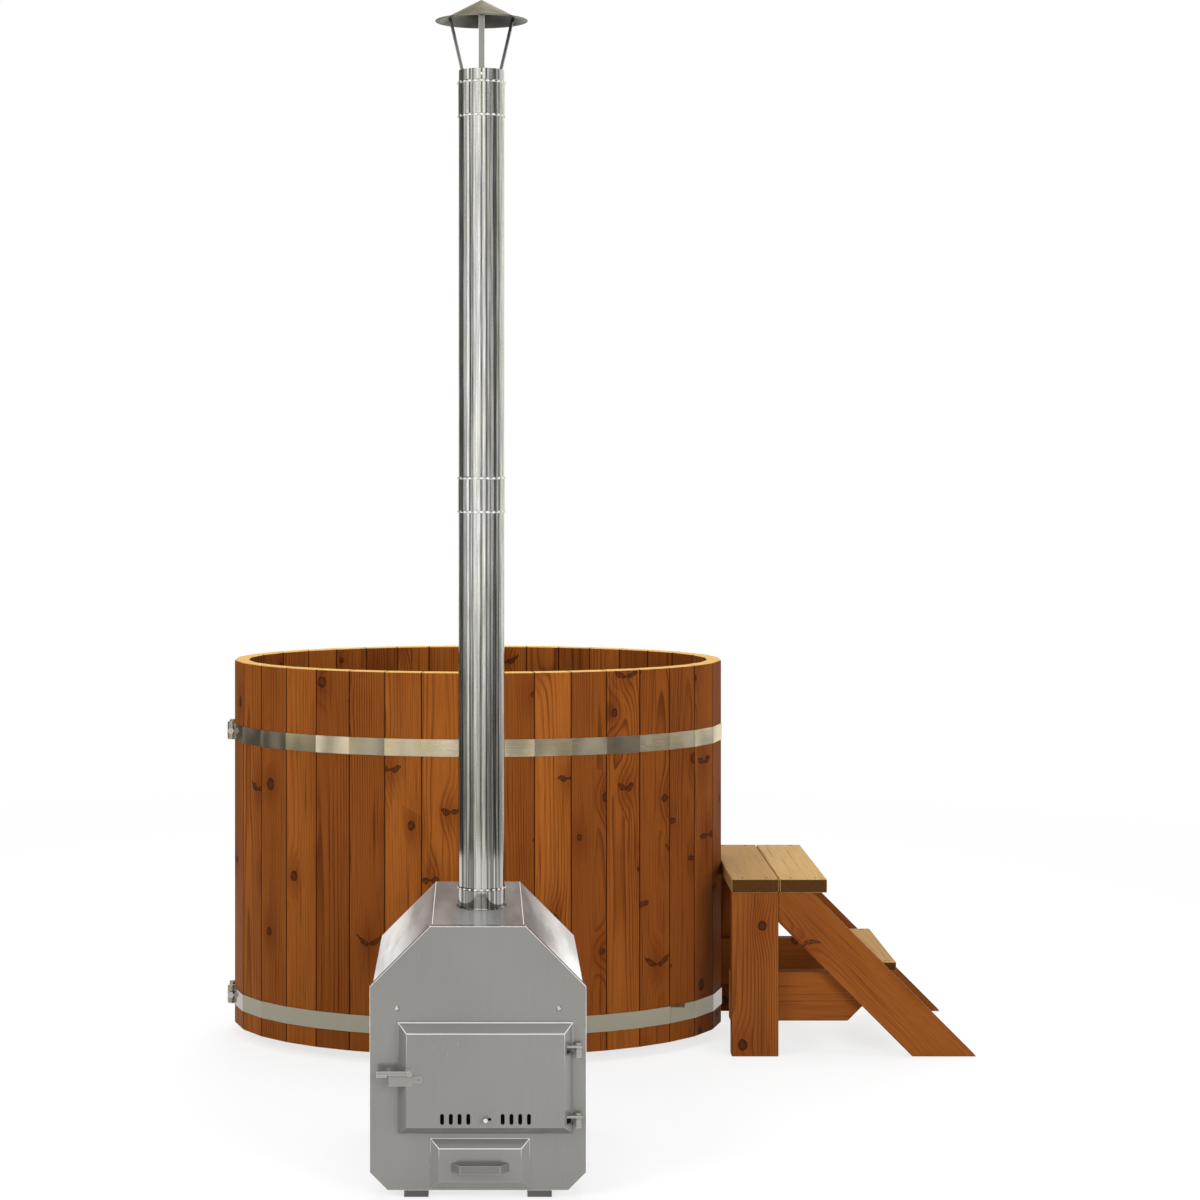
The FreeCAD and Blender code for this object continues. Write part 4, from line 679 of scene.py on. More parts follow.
def pressed_pan(name, body):
    """A pan of stove sheet with sloping sides: its rim, its inner folds and its mitres carry a painted
    highlight, strongest at the top and weaker on the flanks.
    """
    low, high = (Vector(corner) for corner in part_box(name))
    middle, half = (low + high) / 2, (high - low) / 2

    def folds(place):
        aside = half.x - abs(place.x - middle.x)
        above = half.z - abs(place.z - middle.z)
        inset = aside.lowest(above)
        rim = 1 - inset.rise(PRESS_FOLD * 0.9, PRESS_FOLD * 1.3)
        inner = (1 - abs(inset - PRESS_SLOPE).rise(PRESS_FOLD * 0.4, PRESS_FOLD * 0.8)) * 0.8
        mitre = (1 - abs(aside - above).rise(PRESS_FOLD * 0.5, PRESS_FOLD)) * (1 - inset.over(PRESS_SLOPE))
        # Painted highlight: brightest near the top, dim towards the bottom and on the side flanks, as light
        # from above falls.
        lit = place.z.rise(middle.z + half.z * 0.1, high.z - PRESS_SLOPE) * 0.76 + 0.08
        flank = above.over(aside) * 0.55
        return (rim.highest(inner) * (1 - flank)).highest(mitre) * lit

    material = rolled_steel(name + "_sheet", STOVE_SHADE, **BRUSHED, pressed=folds)
    steel_pieces(name, body, "door_steel", material, PRESS_EASE, EASE_STEPS)


pressed_pan("door_pan", "door")
liner_finish, shader, place = finish("heat_tinted_liner", 0.4, metallic=1.0)
heat = place.noise((4, 4, 5), 4.0, 0.6)
liner_height = place.z
# Behind the air slots the liner is painted near black, matt and hardly metallic: painted shade seen through
# the slots.
slot_shade_low = liner_height.rise(SLOT_FOOT - SLOT_SHADE_BELOW, SLOT_FOOT)
slot_shade = slot_shade_low * (1 - liner_height.rise(SLOT_TOP, SLOT_TOP + SLOT_SHADE_ABOVE))
HEAT_STOPS = [
    (0.25, (120, 116, 110)),
    (0.42, (138, 118, 86)),
    (0.54, (104, 88, 78)),
    (0.64, (82, 88, 100)),
    (0.78, (84, 80, 76)),
]
heat_tint = heat.node("ShaderNodeValToRGB", {}, {"Fac": heat})
ramp = heat_tint.socket.node.color_ramp.elements
for share, tint in HEAT_STOPS:
    ramp.new(share).color = colour(*tint)
for end in (-1, 0):
    ramp.remove(ramp[end])
lay(
    shader,
    height=place.noise((300, 300, 300), 2.0),
    depth=0.0002,
    Base_Color=slot_shade.mix(heat_tint, (10, 9, 9)),
    Roughness=heat * 0.3 + slot_shade * 0.4 + 0.3,
    Metallic=1 - slot_shade * 0.9,
)
steel_pieces("door_liner", "door", "liner_steel", liner_finish, 0.0006)
steel_pieces("ash_tray", "drawer", "liner_steel", liner_finish, 0.0006)

SEAL_WIDTH, SEAL_DEPTH = 0.0118, 0.0026
PLAIT_PITCH = 900
seal_finish, shader, place = finish("seal_rope", 0.9, specular=0.1)
seal_x, seal_z = place.x, place.z
rising, falling = ((seal_x + turn * seal_z) * PLAIT_PITCH for turn in (1, -1))
plait = rising.alone("SINE").highest(falling.alone("SINE"))
# The rope darkens where its plait is low: painted shade between the strands.
lay(
    shader,
    height=plait,
    depth=0.0007,
    Base_Color=(plait * 0.5 + 0.5).mix((112, 106, 96), (196, 190, 176)),
    Roughness=plait * 0.05 + 0.88,
)
seal_tree, put = rule_tree(
    "rope_seal", Width="Float", Height="Float", Rope_width="Float", Rope_depth="Float", Finish="Material"
)
run = put["Width"].geo("CurvePrimitiveQuadrilateral", Width=put["Width"], Height=put["Height"])
corner = {"Curve": run, "Count": 6, "Radius": put["Rope width"]}
bend = run.node("GeometryNodeFilletCurve", {"mode": "POLY"}, corner)
rope = run.geo("CurvePrimitiveCircle", Resolution=12, Radius=0.5)
rope_size = together(put["Rope width"], put["Rope depth"], 1.0)
rope = rope.geo("Transform", Geometry=rope, Scale=rope_size)
swept = run.geo("CurveToMesh", Curve=bend, Profile_Curve=rope)
upright = swept.geo("Transform", Geometry=swept, Rotation=(math.pi / 2, 0.0, 0.0))
close_tree(upright, put["Finish"])
seal_low, seal_high = (Vector(corner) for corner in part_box("door_seal"))
seal_size = seal_high - seal_low
seal_mesh = grown(
    "rope_seal", seal_tree, bpy.data.meshes.new("seal_seed"),
    Width=seal_size.x - SEAL_WIDTH, Height=seal_size.z - SEAL_WIDTH,
    Rope_width=SEAL_WIDTH, Rope_depth=SEAL_DEPTH, Finish=seal_finish,
)
seal_mesh.transform(Matrix.Translation((seal_low + seal_high) / 2))
piece("rope_seal", seal_mesh, "door", "seal_rope", "door_seal")

hinge_finish = rolled_steel("satin_hinge_steel", (146, 145, 140), 0.28, (70, 70, 180), metallic=0.45)
steel_pieces("hinge_barrels", ROOT, "hinge_steel", hinge_finish, 0.0006)
steel_pieces("door_lugs hinge_pins", "door", "hinge_steel", hinge_finish, 0.0006)
# The damper strip is near black: painted shade for the air slots it shows through.
damper_finish = rolled_steel("dark_damper_strip", (14, 14, 14), 0.6, (60, 60, 60), 0.1, 0.5, 0.1)
steel_pieces("air_damper", "damper", "damper_steel", damper_finish, 0.0004)
knob_finish = rolled_steel("polished_knob", (222, 221, 217), 0.14, (120, 120, 120))
steel_pieces("air_knob", "damper", "knob_steel", knob_finish, 0.0006)
latch_finish = rolled_steel(
    "satin_latch_steel", (138, 137, 132), 0.26, (200, 200, 30), fold=0.45, metallic=0.45
)
LATCH_SETS = {"latch_plate latch_bolt": "door", "latch_bar": "latch", "latch_keeper": ROOT}
for names, body in LATCH_SETS.items():
    steel_pieces(names, body, "latch_steel", latch_finish, 0.0007)

# Ash drawer. A pressed front like the door's, with a bent strip as its pull.

pressed_pan("ash_front", "drawer")
pull_finish = rolled_steel("satin_pull_strip", (118, 117, 113), 0.28, (20, 20, 420), fold=0.3, metallic=0.6)
steel_pieces("ash_pull", "drawer", "pull_steel", pull_finish, 0.0007)

# Flue. Polished stainless pipe, rolled and seamed, pushed together in beaded sockets on the stove's
# collar, and dulled by heat near the stove.

FLUE_X, FLUE_Y = 0.009, -1.485
FLUE_RADIUS, FLUE_WALL = 0.0575, 0.001
SOCKET_INSIDE, SOCKET_OUTSIDE = 0.0578, 0.0588
BEAD_HEIGHT, BEAD_WIDTH = 0.0020, 0.0060
ROOF, LOWER_FOOT, UPPER_FOOT, CAP_FOOT, CAP_TOP = 0.6467, 0.6507, 1.6337, 2.6242, 2.7422
STUB_DEPTH, SOCKET_DEPTH = 0.048, 0.090
LOWER_SOCKET = LOWER_FOOT + STUB_DEPTH
UPPER_SOCKET, CAP_SOCKET = UPPER_FOOT + SOCKET_DEPTH, CAP_FOOT + SOCKET_DEPTH
SOCKET_SLACK, LIP = 0.0003, 0.0001
FLUE_INSIDE = FLUE_RADIUS - FLUE_WALL
FLUE_SEGMENTS, BEAD_STEPS = 96, 6
SMOOTH_TURN = math.radians(35)


def turned(profile, segments, x=0.0, y=0.0, closed=False):
    """A profile of radius and height turned round an upright axis: the shape and its rings of points."""
    shape = bmesh.new()
    turns = [2 * math.pi * k / segments for k in range(segments)]
    rings = [
        [shape.verts.new((x + reach * math.cos(turn), y + reach * math.sin(turn), height)) for turn in turns]
        for reach, height in profile
    ]
    for low, high in zip(rings, rings[1:] + (rings[:1] if closed else [])):
        for k in range(segments):
            after = (k + 1) % segments
            shape.faces.new((low[k], low[after], high[after], high[k])).smooth = closed
    return shape, rings


def lathe(name, profile, material):
    """A closed profile turned round the flue's axis."""
    shape, _ = turned(profile, FLUE_SEGMENTS, FLUE_X, FLUE_Y, closed=True)
    bmesh.ops.remove_doubles(shape, verts=shape.verts[:], dist=WELD)
    bmesh.ops.recalc_face_normals(shape, faces=shape.faces[:])
    mesh = baked(name, shape)
    mesh.set_sharp_from_angle(angle=SMOOTH_TURN)
    mesh.materials.append(material)
    return mesh


def bead_line(middle):
    """A half-round bead rolled out of the socket's wall."""
    turns = [math.pi * k / BEAD_STEPS for k in range(BEAD_STEPS + 1)]
    return [
        (SOCKET_OUTSIDE + BEAD_HEIGHT * math.sin(turn), middle - BEAD_WIDTH / 2 * math.cos(turn))
        for turn in turns
    ]


def flue_pipe(foot, socket_top, top, beads):
    """The profile of a pipe with a wider, beaded socket at its foot."""
    profile = [(SOCKET_INSIDE, foot), (SOCKET_OUTSIDE, foot - LIP)]
    for middle in beads:
        profile += bead_line(middle)
    return profile + [
        (SOCKET_OUTSIDE, socket_top + LIP),
        (FLUE_RADIUS, socket_top + FLUE_WALL),
        (FLUE_RADIUS, top),
        (FLUE_INSIDE, top),
        (FLUE_INSIDE, socket_top),
        (SOCKET_INSIDE, socket_top),
    ]


flue_finish, shader, place = finish("polished_flue_steel", 0.1, metallic=1.0)
round_x, round_y = place.x - FLUE_X, place.y - FLUE_Y
around, flue_height = round_y.math("ARCTAN2", round_y, round_x), place.z
sheet_place = together(around, flue_height, 0.0)
rolled = sheet_place.noise((9, 1.3, 1), 3.0)
drawn = sheet_place.noise((90, 1.2, 1), 3.0, 0.6)
handled = sheet_place.noise((5, 6, 1), 4.0).rise(0.5, 0.8)
# The colour streaks round the pipe: partly real rolling marks, partly painted reflections of the room.
# Lowest on the flue, the veins are painted reflections only.
streaks_and_reflections = rolled.rise(0.35, 0.7) * 0.5 + drawn * 0.2
clean = streaks_and_reflections.mix((220, 220, 219), (172, 172, 171))
dulled = (streaks_and_reflections * 1.3).mix((166, 164, 158), (78, 77, 74))
reflection_veins = sheet_place.noise((7, 0.5, 1), 4.0, 0.65).rise(0.40, 0.60)
veined_reflections = reflection_veins.mix((206, 204, 198), (104, 102, 97))
upper_tint = flue_height.rise(0.85, 1.60).mix(dulled, clean)
lay(
    shader,
    height=rolled + drawn * 0.015,
    depth=0.0004,
    Base_Color=flue_height.rise(0.74, 0.90).mix(veined_reflections, upper_tint),
    Roughness=drawn * 0.05 + handled * 0.05 + 0.03,
)
half_bead = BEAD_WIDTH / 2
bead_heights = [
    LOWER_SOCKET - half_bead,
    UPPER_FOOT + half_bead,
    UPPER_SOCKET - half_bead,
    CAP_FOOT + half_bead,
    CAP_SOCKET - half_bead,
]
FLUE_PIPES = {
    "lower_flue_pipe": (LOWER_FOOT, LOWER_SOCKET, UPPER_SOCKET - SOCKET_SLACK, bead_heights[:1]),
    "upper_flue_pipe": (UPPER_FOOT, UPPER_SOCKET, CAP_SOCKET - SOCKET_SLACK, bead_heights[1:3]),
    "cap_collar": (CAP_FOOT, CAP_SOCKET, CAP_TOP, bead_heights[3:]),
}
for name, heights in FLUE_PIPES.items():
    piece("turned_" + name, lathe(name, flue_pipe(*heights), flue_finish), ROOT, "flue_steel", name)
COLLAR_FOOT, COLLAR_FLANGE = 0.450, 0.0060
FLANGE_EDGE, FLANGE_TOP = 0.0020, 0.0034
collar_top = LOWER_SOCKET - SOCKET_SLACK
collar_mesh = lathe("stove_collar", [
    (FLUE_INSIDE, COLLAR_FOOT),
    (FLUE_RADIUS, COLLAR_FOOT),
    (FLUE_RADIUS, ROOF),
    (FLUE_RADIUS + COLLAR_FLANGE, ROOF),
    (FLUE_RADIUS + COLLAR_FLANGE, ROOF + FLANGE_EDGE),
    (FLUE_RADIUS + COLLAR_FLANGE * 0.8, ROOF + FLANGE_TOP),
    (FLUE_RADIUS + COLLAR_FLANGE * 0.4, LOWER_FOOT),
    (FLUE_RADIUS, LOWER_FOOT),
    (FLUE_RADIUS, collar_top),
    (FLUE_INSIDE, collar_top),
], flue_finish)
piece("stove_collar", collar_mesh, ROOT, "flue_steel", "flue_collar")

# Crimps of the beads: small presses side by side round each bead, which break its highlight into dots.
# The same tree makes the rivets of the cap's straps.

CRIMP_COUNT, CRIMP_RADIUS, CRIMP_SHAPE = 24, 0.0027, (0.45, 1.7, 0.85)
CRIMP_SINK = 0.85
# Presses and rivets are near white and half diffuse: a painted highlight on each dot of the beads.
bead_finish = rolled_steel("burnished_beads", (246, 245, 242), 0.2, (90, 90, 90), metallic=0.45)
crimp_tree, put = rule_tree(
    "crimped_beads", Radius="Float", Count="Int", Crimp="Float", Shape="Vector", Turn="Vector",
    Finish="Material",
)
loop = put["Count"].geo("MeshCircle", Vertices=put["Count"], Radius=put["Radius"])
spot = loop.geo("InputPosition")
outward = spot.node("FunctionNodeAlignRotationToVector", {"axis": "X"}, {"Vector": spot})
crimp = loop.geo("MeshUVSphere", Segments=8, Rings=5, Radius=put["Crimp"])
crimp = crimp.geo("Transform", Geometry=crimp, Scale=put["Shape"])
crimped = loop.geo("InstanceOnPoints", Points=loop, Instance=crimp, Rotation=outward)
bead_rings = crimped.geo("InstanceOnPoints", Points=put["Geometry"], Instance=crimped, Rotation=put["Turn"])
bead_rings = bead_rings.geo("RealizeInstances", Geometry=bead_rings)
close_tree(bead_rings.geo("SetShadeSmooth", Geometry=bead_rings), put["Finish"])


def ringed(name, heights, turn, **values):
    """Rings of presses or rivets round the flue, one at each height, turned by an angle."""
    seed = bpy.data.meshes.new(name + "_heights")
    seed.from_pydata([(FLUE_X, FLUE_Y, height) for height in heights], [], [])
    return grown(name, crimp_tree, seed, Turn=(0.0, 0.0, turn), Finish=bead_finish, **values)


crimp_mesh = ringed(
    "bead_crimps", bead_heights, 0.0,
    Radius=SOCKET_OUTSIDE + BEAD_HEIGHT * CRIMP_SINK, Count=CRIMP_COUNT,
    Crimp=CRIMP_RADIUS, Shape=CRIMP_SHAPE,
)
piece("bead_crimps", crimp_mesh, ROOT, "flue_steel")

# Rain cap. A spun cone with a flat brim on three bent straps, riveted inside the pipe; weathered
# olive on top, and below darkened by soot from the flue and by painted shade.

BRIM, CAP_RADIUS, CAP_BRIM, CAP_RISE, CAP_SHEET = 2.8667, 0.101, 0.015, 0.053, 0.001
CAP_POINT, UNDERSIDE_FACING = 0.0001, -0.1
cap_finish, shader, place = finish("spun_cap_steel", 0.3, metallic=0.8)
spun = place.noise((16, 16, 120), 2.0)
weather = place.noise((18, 18, 30), 3.0).rise(0.35, 0.75)
cap_tint = weather.mix((136, 129, 95), (102, 96, 70))
lay(
    shader,
    height=spun,
    depth=0.00004,
    Base_Color=own(shader, "sooted_and_shaded").mix(cap_tint, (40, 36, 28)),
    Roughness=spun * 0.1 + weather * 0.15 + 0.22,
)
cap_mesh = lathe("rain_cap", [
    (CAP_POINT, BRIM + CAP_RISE),
    (CAP_RADIUS, BRIM),
    (CAP_RADIUS + CAP_BRIM, BRIM),
    (CAP_RADIUS + CAP_BRIM, BRIM + CAP_SHEET),
    (CAP_RADIUS, BRIM + CAP_SHEET),
    (CAP_POINT, BRIM + CAP_RISE + CAP_SHEET),
], cap_finish)
# Faces that look down are near black: soot from the flue, and painted shade under the cap.
sooted_and_shaded = [float(face.normal.z < UNDERSIDE_FACING) for face in cap_mesh.polygons]
cap_mesh.attributes.new("sooted_and_shaded", "FLOAT", "FACE").data.foreach_set("value", sooted_and_shaded)
piece("rain_cap", cap_mesh, ROOT, "cap_steel", "cap_cone")
strap_finish = rolled_steel("bent_strap_steel", (138, 137, 133), 0.3, (120, 120, 20), metallic=0.45)
steel_pieces("cap_straps", ROOT, "cap_steel", strap_finish, 0.0004)
STRAP_COUNT, RIVET_DROP, RIVET_RADIUS, RIVET_SHAPE = 3, 0.014, 0.0032, (0.45, 1.0, 1.0)
rivet_mesh = ringed(
    "strap_rivets", [CAP_TOP - RIVET_DROP], -math.pi / 2,
    Radius=FLUE_RADIUS, Count=STRAP_COUNT, Crimp=RIVET_RADIUS, Shape=RIVET_SHAPE,
)
piece("strap_rivets", rivet_mesh, ROOT, "cap_steel")

# Steps. Planed and eased boards of the same pine: two posts, two slanting stringers, two rails,
# one tread and a platform of two boards, lighter on the tops, screwed from above.

STEP_X, STEP_FRONT, STEP_BACK = 0.7465, -0.3705, 0.2745
STEP_EASE, PLANK_END_FACING = 0.0035, 0.75


def planks(name, boards, material, slot, node):
    """A piece of eased boards: each an outline in XZ, its reach in Y, its grain's direction and its tone."""
    points, faces, grains, tones, end_marks = [], [], [], [], []
    for outline, (near, far), direction, tone in boards:
        shape = bmesh.new()
        base = shape.faces.new([shape.verts.new((x, near, z)) for x, z in outline])
        pushed = bmesh.ops.extrude_face_region(shape, geom=[base])
        for vert in (item for item in pushed["geom"] if isinstance(item, bmesh.types.BMVert)):
            vert.co.y = far
        bmesh.ops.recalc_face_normals(shape, faces=shape.faces[:])
        bmesh.ops.bevel(shape, geom=shape.edges[:], offset=STEP_EASE, segments=EASE_STEPS, **ROUND)
        shape.verts.index_update()
        along = Vector(direction).normalized()
        through = Vector((0, 1, 0)) if abs(along.y) < 0.5 else Vector((0, 0, -1))
        across = through.cross(along)
        origin = Vector((outline[0][0], near, outline[0][1]))
        first = len(points)
        for vert in shape.verts:
            points.append(vert.co[:])
            away = vert.co - origin
            grains += [away.dot(across), away.dot(through), away.dot(along)]
            tones.append(tone)
        for face in shape.faces:
            faces.append([first + vert.index for vert in face.verts])
            end_marks.append(float(abs(face.normal.dot(along)) > PLANK_END_FACING))
        shape.free()
    mesh = bpy.data.meshes.new(name)
    mesh.from_pydata(points, [], faces)
    mesh.attributes.new("grain", "FLOAT_VECTOR", "POINT").data.foreach_set("vector", grains)
    mesh.attributes.new("board", "FLOAT", "POINT").data.foreach_set("value", tones)
    mesh.attributes.new("end", "FLOAT", "FACE").data.foreach_set("value", end_marks)
    mesh.materials.append(material)
    piece(name, mesh, ROOT, slot, node)


def flat_board(left, right, low, high):
    return [(left, low), (right, low), (right, high), (left, high)]


SIDE_SHADES = ((136, 77, 30), (108, 57, 21), (64, 29, 10))
SIDE_END = (150, 98, 48)
TOP_SHADES = ((180, 147, 96), (162, 126, 76), (120, 84, 44))
TOP_END = (58, 34, 11)
POST_KNOTS = ((0.090, 0.385, 0.0135), (0.032, 0.034, 0.0150))
post_finish = board_pine("step_post_pine", "board", SIDE_SHADES, SIDE_END, 0.15, 0.75, POST_KNOTS)
side_finish = board_pine("step_side_pine", "board", SIDE_SHADES, SIDE_END, 0.5, 0.45)
top_finish = board_pine("step_top_pine", "board", TOP_SHADES, TOP_END, 0.25, 0.4)
POST_TOP, PLATFORM_TOP = 0.482, 0.522
POST_WIDTH, SIDE_BOARD = 0.138, 0.045
POST_SIDE = STEP_X + POST_WIDTH
STRINGER_HEAD, STRINGER_DROP = 0.100, 0.088
BOARD_REACHES = ((STEP_FRONT, STEP_FRONT + SIDE_BOARD), (STEP_BACK - SIDE_BOARD, STEP_BACK))
RAIL_REACHES = (
    (STEP_FRONT + SIDE_BOARD, STEP_FRONT + 2 * SIDE_BOARD),
    (STEP_BACK - 2 * SIDE_BOARD, STEP_BACK - SIDE_BOARD),
)
post = flat_board(STEP_X, POST_SIDE, 0.0, POST_TOP)
stringer = [
    (POST_SIDE, POST_TOP),
    (POST_SIDE, POST_TOP - STRINGER_DROP),
    (POST_SIDE + POST_TOP - STRINGER_DROP, 0.0),
    (POST_SIDE + POST_TOP + STRINGER_HEAD, 0.0),
    (POST_SIDE + STRINGER_HEAD, POST_TOP),
]
RAIL_FOOT, RAIL_TOP, RAIL_REACH, RAIL_CUT = 0.095, 0.240, 0.395, 0.047
rail = [
    (STEP_X, RAIL_FOOT),
    (STEP_X + RAIL_REACH - RAIL_CUT, RAIL_FOOT),
    (STEP_X + RAIL_REACH, RAIL_FOOT + RAIL_CUT),
    (STEP_X + RAIL_REACH, RAIL_TOP),
    (STEP_X, RAIL_TOP),
]
STEP_PAIRS = {
    "step_posts": (post, BOARD_REACHES, (0, 0, 1), 2.0, post_finish),
    "step_stringers": (stringer, BOARD_REACHES, (1, 0, -1), 4.6, side_finish),
    "step_rails": (rail, RAIL_REACHES, (1, 0, 0), 7.3, side_finish),
}
for name, (outline, reaches, direction, tone, wood) in STEP_PAIRS.items():
    boards = [(outline, reach, direction, tone + 0.9 * k) for k, reach in enumerate(reaches)]
    planks(name + "_eased", boards, wood, "step_wood", name)
BOARD_WIDTH, BOARD_SLIT = 0.139, 0.003
top_boards = []
for row in range(2):
    left = STEP_X + row * (BOARD_WIDTH + BOARD_SLIT)
    outline = flat_board(left, left + BOARD_WIDTH, POST_TOP, PLATFORM_TOP)
    top_boards.append((outline, (STEP_FRONT, STEP_BACK), (0, 1, 0), 11.2 + 1.7 * row))
planks("step_platform", top_boards, top_finish, "step_top_wood", "step_top_boards")
tread_low, tread_high = (Vector(corner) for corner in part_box("step_tread"))
tread_middle = (tread_low + tread_high) / 2
tread = flat_board(tread_low.x, tread_high.x, tread_low.z, tread_high.z)
tread_boards = [(tread, (tread_low.y, tread_high.y), (0, 1, 0), 17.9)]
planks("step_tread_eased", tread_boards, top_finish, "step_top_wood", "step_tread")

# Screws of the steps and the benches: dark countersunk heads in rows over the posts, rails and legs.

SCREW_RADIUS, SCREW_SIDES, SCREW_ROWS = 0.0042, 12, 2
# The head's profile: shares of its radius, and heights over the board
SCREW_PROFILE = ((1.0, -0.0012), (1.0, 0.0), (0.86, 0.0005), (0.46, 0.0005), (0.40, -0.0010))
screw_tree, put = rule_tree(
    "screw_rows", Columns="Int", Rows="Int", Wide="Float", Deep="Float", Middle="Vector", Finish="Material"
)
rows = put["Rows"].geo(
    "MeshGrid", Size_X=put["Wide"], Size_Y=put["Deep"], Vertices_X=put["Columns"], Vertices_Y=put["Rows"]
)
rows = rows.geo("Transform", Geometry=rows, Translation=put["Middle"])
close_tree(rows.geo("InstanceOnPoints", Points=rows, Instance=put["Geometry"]), put["Finish"])


def screw_head():
    """A closed flat head with a rounded rim and a round recess."""
    profile = [(share * SCREW_RADIUS, height) for share, height in SCREW_PROFILE]
    shape, loops = turned(profile, SCREW_SIDES)
    shape.faces.new(loops[-1])
    shape.faces.new(loops[0][::-1])
    bmesh.ops.recalc_face_normals(shape, faces=shape.faces[:])
    return baked("screw_head", shape)


board_screw_finish = rolled_steel("dull_screw_steel", (74, 66, 56), 0.45, (300, 300, 300), 0.1, 0.5, 0.0)


def screws(name, columns, wide, deep, middle):
    """Two rows of screws, so wide and so deep about their middle."""
    mesh = grown(name, screw_tree, screw_head(), Columns=columns, Rows=SCREW_ROWS, Wide=wide, Deep=deep,
                 Middle=middle, Finish=board_screw_finish)
    piece(name, mesh, ROOT, "screw_steel")


PLATFORM_SPREAD, TREAD_SPREAD, TREAD_INSET = 0.215, 0.085, 0.035
LEG_SPREAD, SEAT_SPREAD, SEAT_INSET = 0.300, 0.064, 0.080
platform_middle = (STEP_X + BOARD_WIDTH + BOARD_SLIT / 2, (STEP_FRONT + STEP_BACK) / 2, PLATFORM_TOP)
screws("platform_screws", 4, PLATFORM_SPREAD, STEP_BACK - STEP_FRONT - SIDE_BOARD, platform_middle)
tread_depth = tread_high.y - tread_low.y - TREAD_INSET
screws("tread_screws", 2, TREAD_SPREAD, tread_depth, (tread_middle.x, tread_middle.y, tread_high.z))
bench_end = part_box("bench_boards")[1]
for name, side in (("left", -1), ("right", 1)):
    seat_middle = (side * (bench_end[0] - BENCH_REACH + SEAT_INSET), 0.0, bench_end[2])
    screws(f"{name}_bench_screws", 2, SEAT_SPREAD, LEG_SPREAD, seat_middle)

# Studio: pale floor, soft lamps and a white room. Polished steel also sees a ring of light and dark
# screens round the set, as it would see a yard or a workshop.

FLOOR_REACH, FLOOR_LEVEL = 40.0, -0.001
FLOOR_TINT, WHITE = (0.86, 0.86, 0.86, 1.0), (1.0, 1.0, 1.0, 1.0)
FLOOR_NEAR, FLOOR_FAR, FLOOR_GLOW = 1.5, 6.0, 0.75


def seen_share(wire):
    """1 where a surface is seen, straight or in a mirror, and 0 where it only lights the rest."""
    kinds = ("Camera", "Glossy", "Transmission")
    seen, mirrored, passed = (wire.node("ShaderNodeLightPath", {}, {}, f"Is {kind} Ray") for kind in kinds)
    return seen.highest(mirrored.highest(passed))


def show(material, surface):
    """A wire as the surface of a material, in place of its shader."""
    tree = material.node_tree
    tree.links.new(surface.socket, tree.nodes["Material Output"].inputs["Surface"])


floor_mesh = bpy.data.meshes.new("studio_floor")
floor_corners = [(-1, -1), (1, -1), (1, 1), (-1, 1)]
floor_points = [(x * FLOOR_REACH, y * FLOOR_REACH, FLOOR_LEVEL) for x, y in floor_corners]
floor_mesh.from_pydata(floor_points, [], [(0, 1, 2, 3)])
studio_floor = placed("studio_floor", floor_mesh)
pale_finish, shader, place = finish("pale_floor", 0.9, specular=0.0)
shader.inputs["Base Color"].default_value = FLOOR_TINT
far_off = place.vector("LENGTH", None, "Value").rise(FLOOR_NEAR, FLOOR_FAR)
glow = place.node("ShaderNodeEmission", {}, {"Color": WHITE, "Strength": 1.0})
floor_share = seen_share(place) * (far_off * (1 - FLOOR_GLOW) + FLOOR_GLOW)
floor_sockets = {0: floor_share, 1: Wire(shader.outputs[0]), 2: glow}
show(pale_finish, place.node("ShaderNodeMixShader", {}, floor_sockets))
floor_mesh.materials.append(pale_finish)

ROOM_FILL = 0.42
world = bpy.data.worlds.new("white_room")
bpy.context.scene.world = world
world.use_nodes = True
room = world.node_tree.nodes["Background"]
room.inputs["Color"].default_value = WHITE
shown = seen_share(Wire(room.outputs[0]))
world.node_tree.links.new((shown * (1 - ROOM_FILL) + ROOM_FILL).socket, room.inputs["Strength"])

SCREEN_RADIUS, SCREEN_FOOT, SCREEN_HEIGHT, SCREEN_SIDES = 4.1, 0.12, 9.0, 90
SCREEN_WAVER, FLAG_CORE = 0.030, 0.75
COOL_LIGHT, OLIVE_LIGHT = (0.97, 0.98, 1.0, 1.0), (0.95, 0.92, 0.74, 1.0)
# Each flag: its middle and half width as shares of a turn from the back by way of the left, and its light.
FLAGS = (
    (0.150, 0.080, 0.02),
    (0.300, 0.018, 1.50),
    (0.333, 0.011, 0.03),
    (0.372, 0.006, 0.20),
    (0.440, 0.060, 1.35),
    (0.494, 0.006, 0.06),
    (0.535, 0.022, 1.35),
    (0.572, 0.008, 0.12),
    (0.618, 0.010, 0.18),
    (0.695, 0.034, 0.03),
    (0.768, 0.012, 0.05),
    (0.920, 0.120, 1.05),
)
screen_finish, _, place = finish("flagged_screens", 1.0)
aside, ahead = place.x - FLUE_X, place.y - FLUE_Y
turn = (aside.math("ARCTAN2", aside * -1, ahead) / (2 * math.pi) + 1).alone("FRACT")
turn = turn + (place.noise((0.6, 0.6, 1.1), 2.0) - 0.5) * SCREEN_WAVER
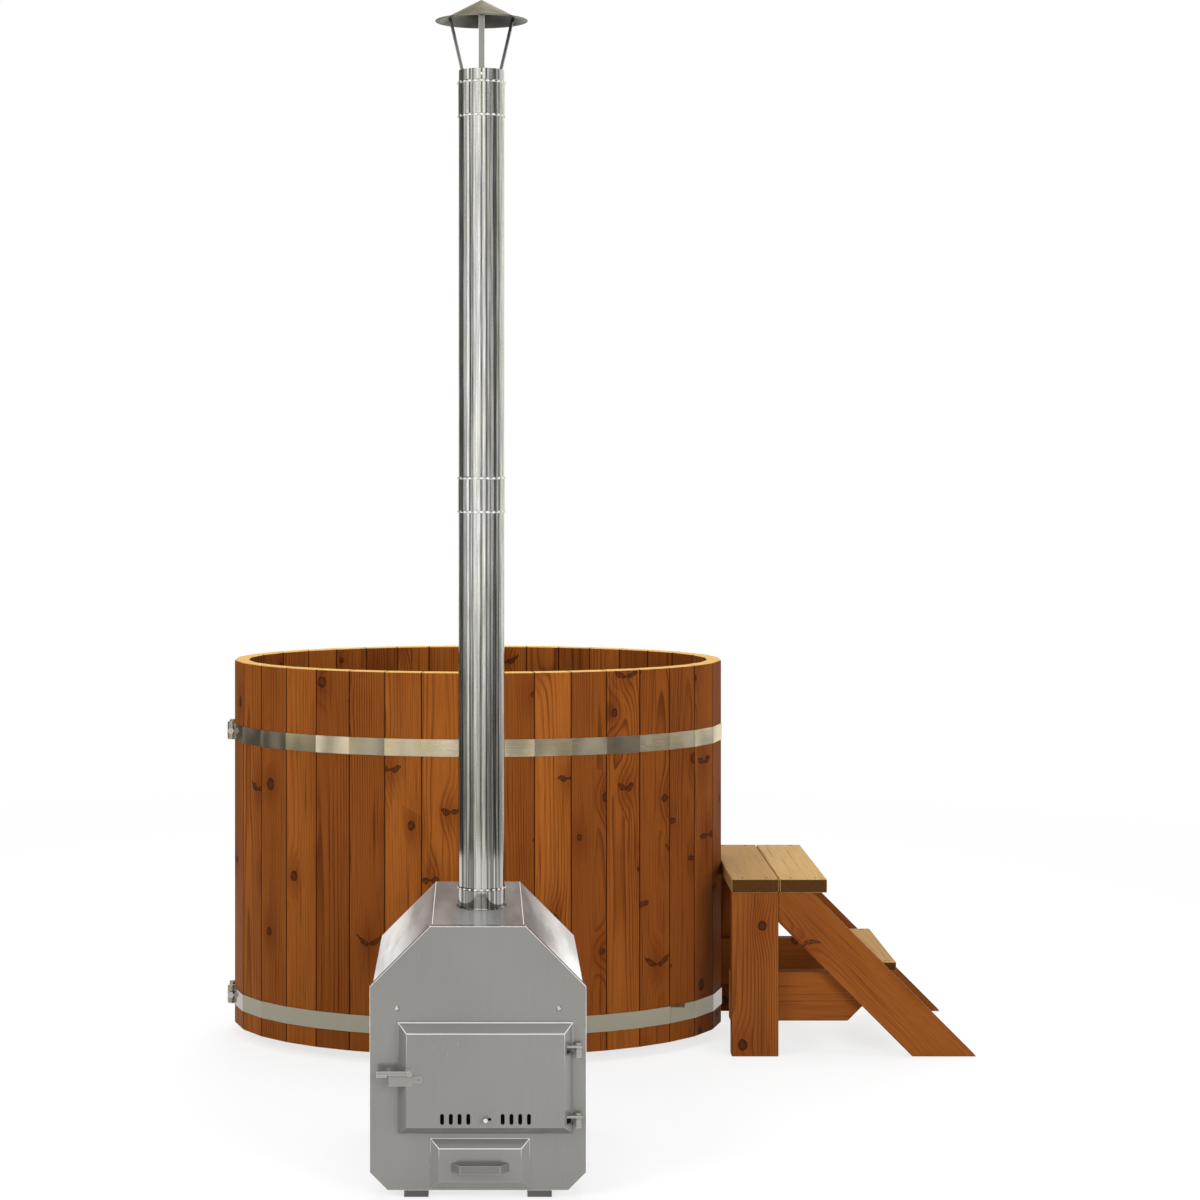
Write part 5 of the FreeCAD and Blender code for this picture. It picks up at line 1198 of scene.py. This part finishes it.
light = place.noise((0.8, 0.8, 0.03), 2.0) * 0.7 + 0.30
for middle, half, level in FLAGS:
    cover = 1 - (abs(turn - middle) / half).rise(FLAG_CORE, 1.0)
    light = light + cover * (level - light)
blocks = place.noise((24, 24, 4.0), 1.0).rise(0.40, 0.60)
light = light * (blocks * 0.75 + 0.40) + blocks * 0.22
olive = place.noise((9, 9, 2), 1.0).rise(0.48, 0.58)
screen_tint = olive.mix(COOL_LIGHT, OLIVE_LIGHT)
show(screen_finish, light.node("ShaderNodeEmission", {}, {"Color": screen_tint, "Strength": light}))
screen_ends = [(SCREEN_RADIUS, SCREEN_HEIGHT), (SCREEN_RADIUS, SCREEN_FOOT)]
screen_mesh = baked("flagged_screens", turned(screen_ends, SCREEN_SIDES, FLUE_X, FLUE_Y)[0])
screen_mesh.materials.append(screen_finish)
screens = placed("flagged_screens", screen_mesh)
for reach in ("camera", "diffuse", "transmission", "volume_scatter", "shadow"):
    setattr(screens, "visible_" + reach, False)


def lamp(name, place, aim, size, watts):
    light = bpy.data.lights.new(name, "AREA")
    light.energy, light.size = watts, size
    made = placed(name, light)
    made.location = place
    made.rotation_euler = (Vector(aim) - Vector(place)).to_track_quat("-Z", "Y").to_euler()
    made.visible_glossy = False


lamp("key", (-4.2, -5.5, 4.6), (0.0, 0.0, 0.8), 3.0, 260.0)
lamp("fill", (3.9, -6.2, 2.2), (0.3, 0.0, 0.6), 3.0, 265.0)
lamp("top", (0.0, -0.3, 6.0), (0.0, -0.3, 0.8), 3.5, 170.0)
lamp("back", (0.0, 3.4, 3.6), (0.0, -1.4, 0.6), 2.6, 140.0)

camera_data = bpy.data.cameras.new("photo_camera")
camera_data.lens, camera_data.sensor_width = 77.4, 36.0
camera_data.shift_x, camera_data.shift_y = 0.1017, -0.1367
camera = placed("photo_camera", camera_data)
camera.location = (0.0, -7.96, 1.826)
camera.rotation_euler = (math.pi / 2, 0.0, 0.0)
bpy.context.scene.camera = camera
bpy.context.scene.view_settings.view_transform = "Standard"
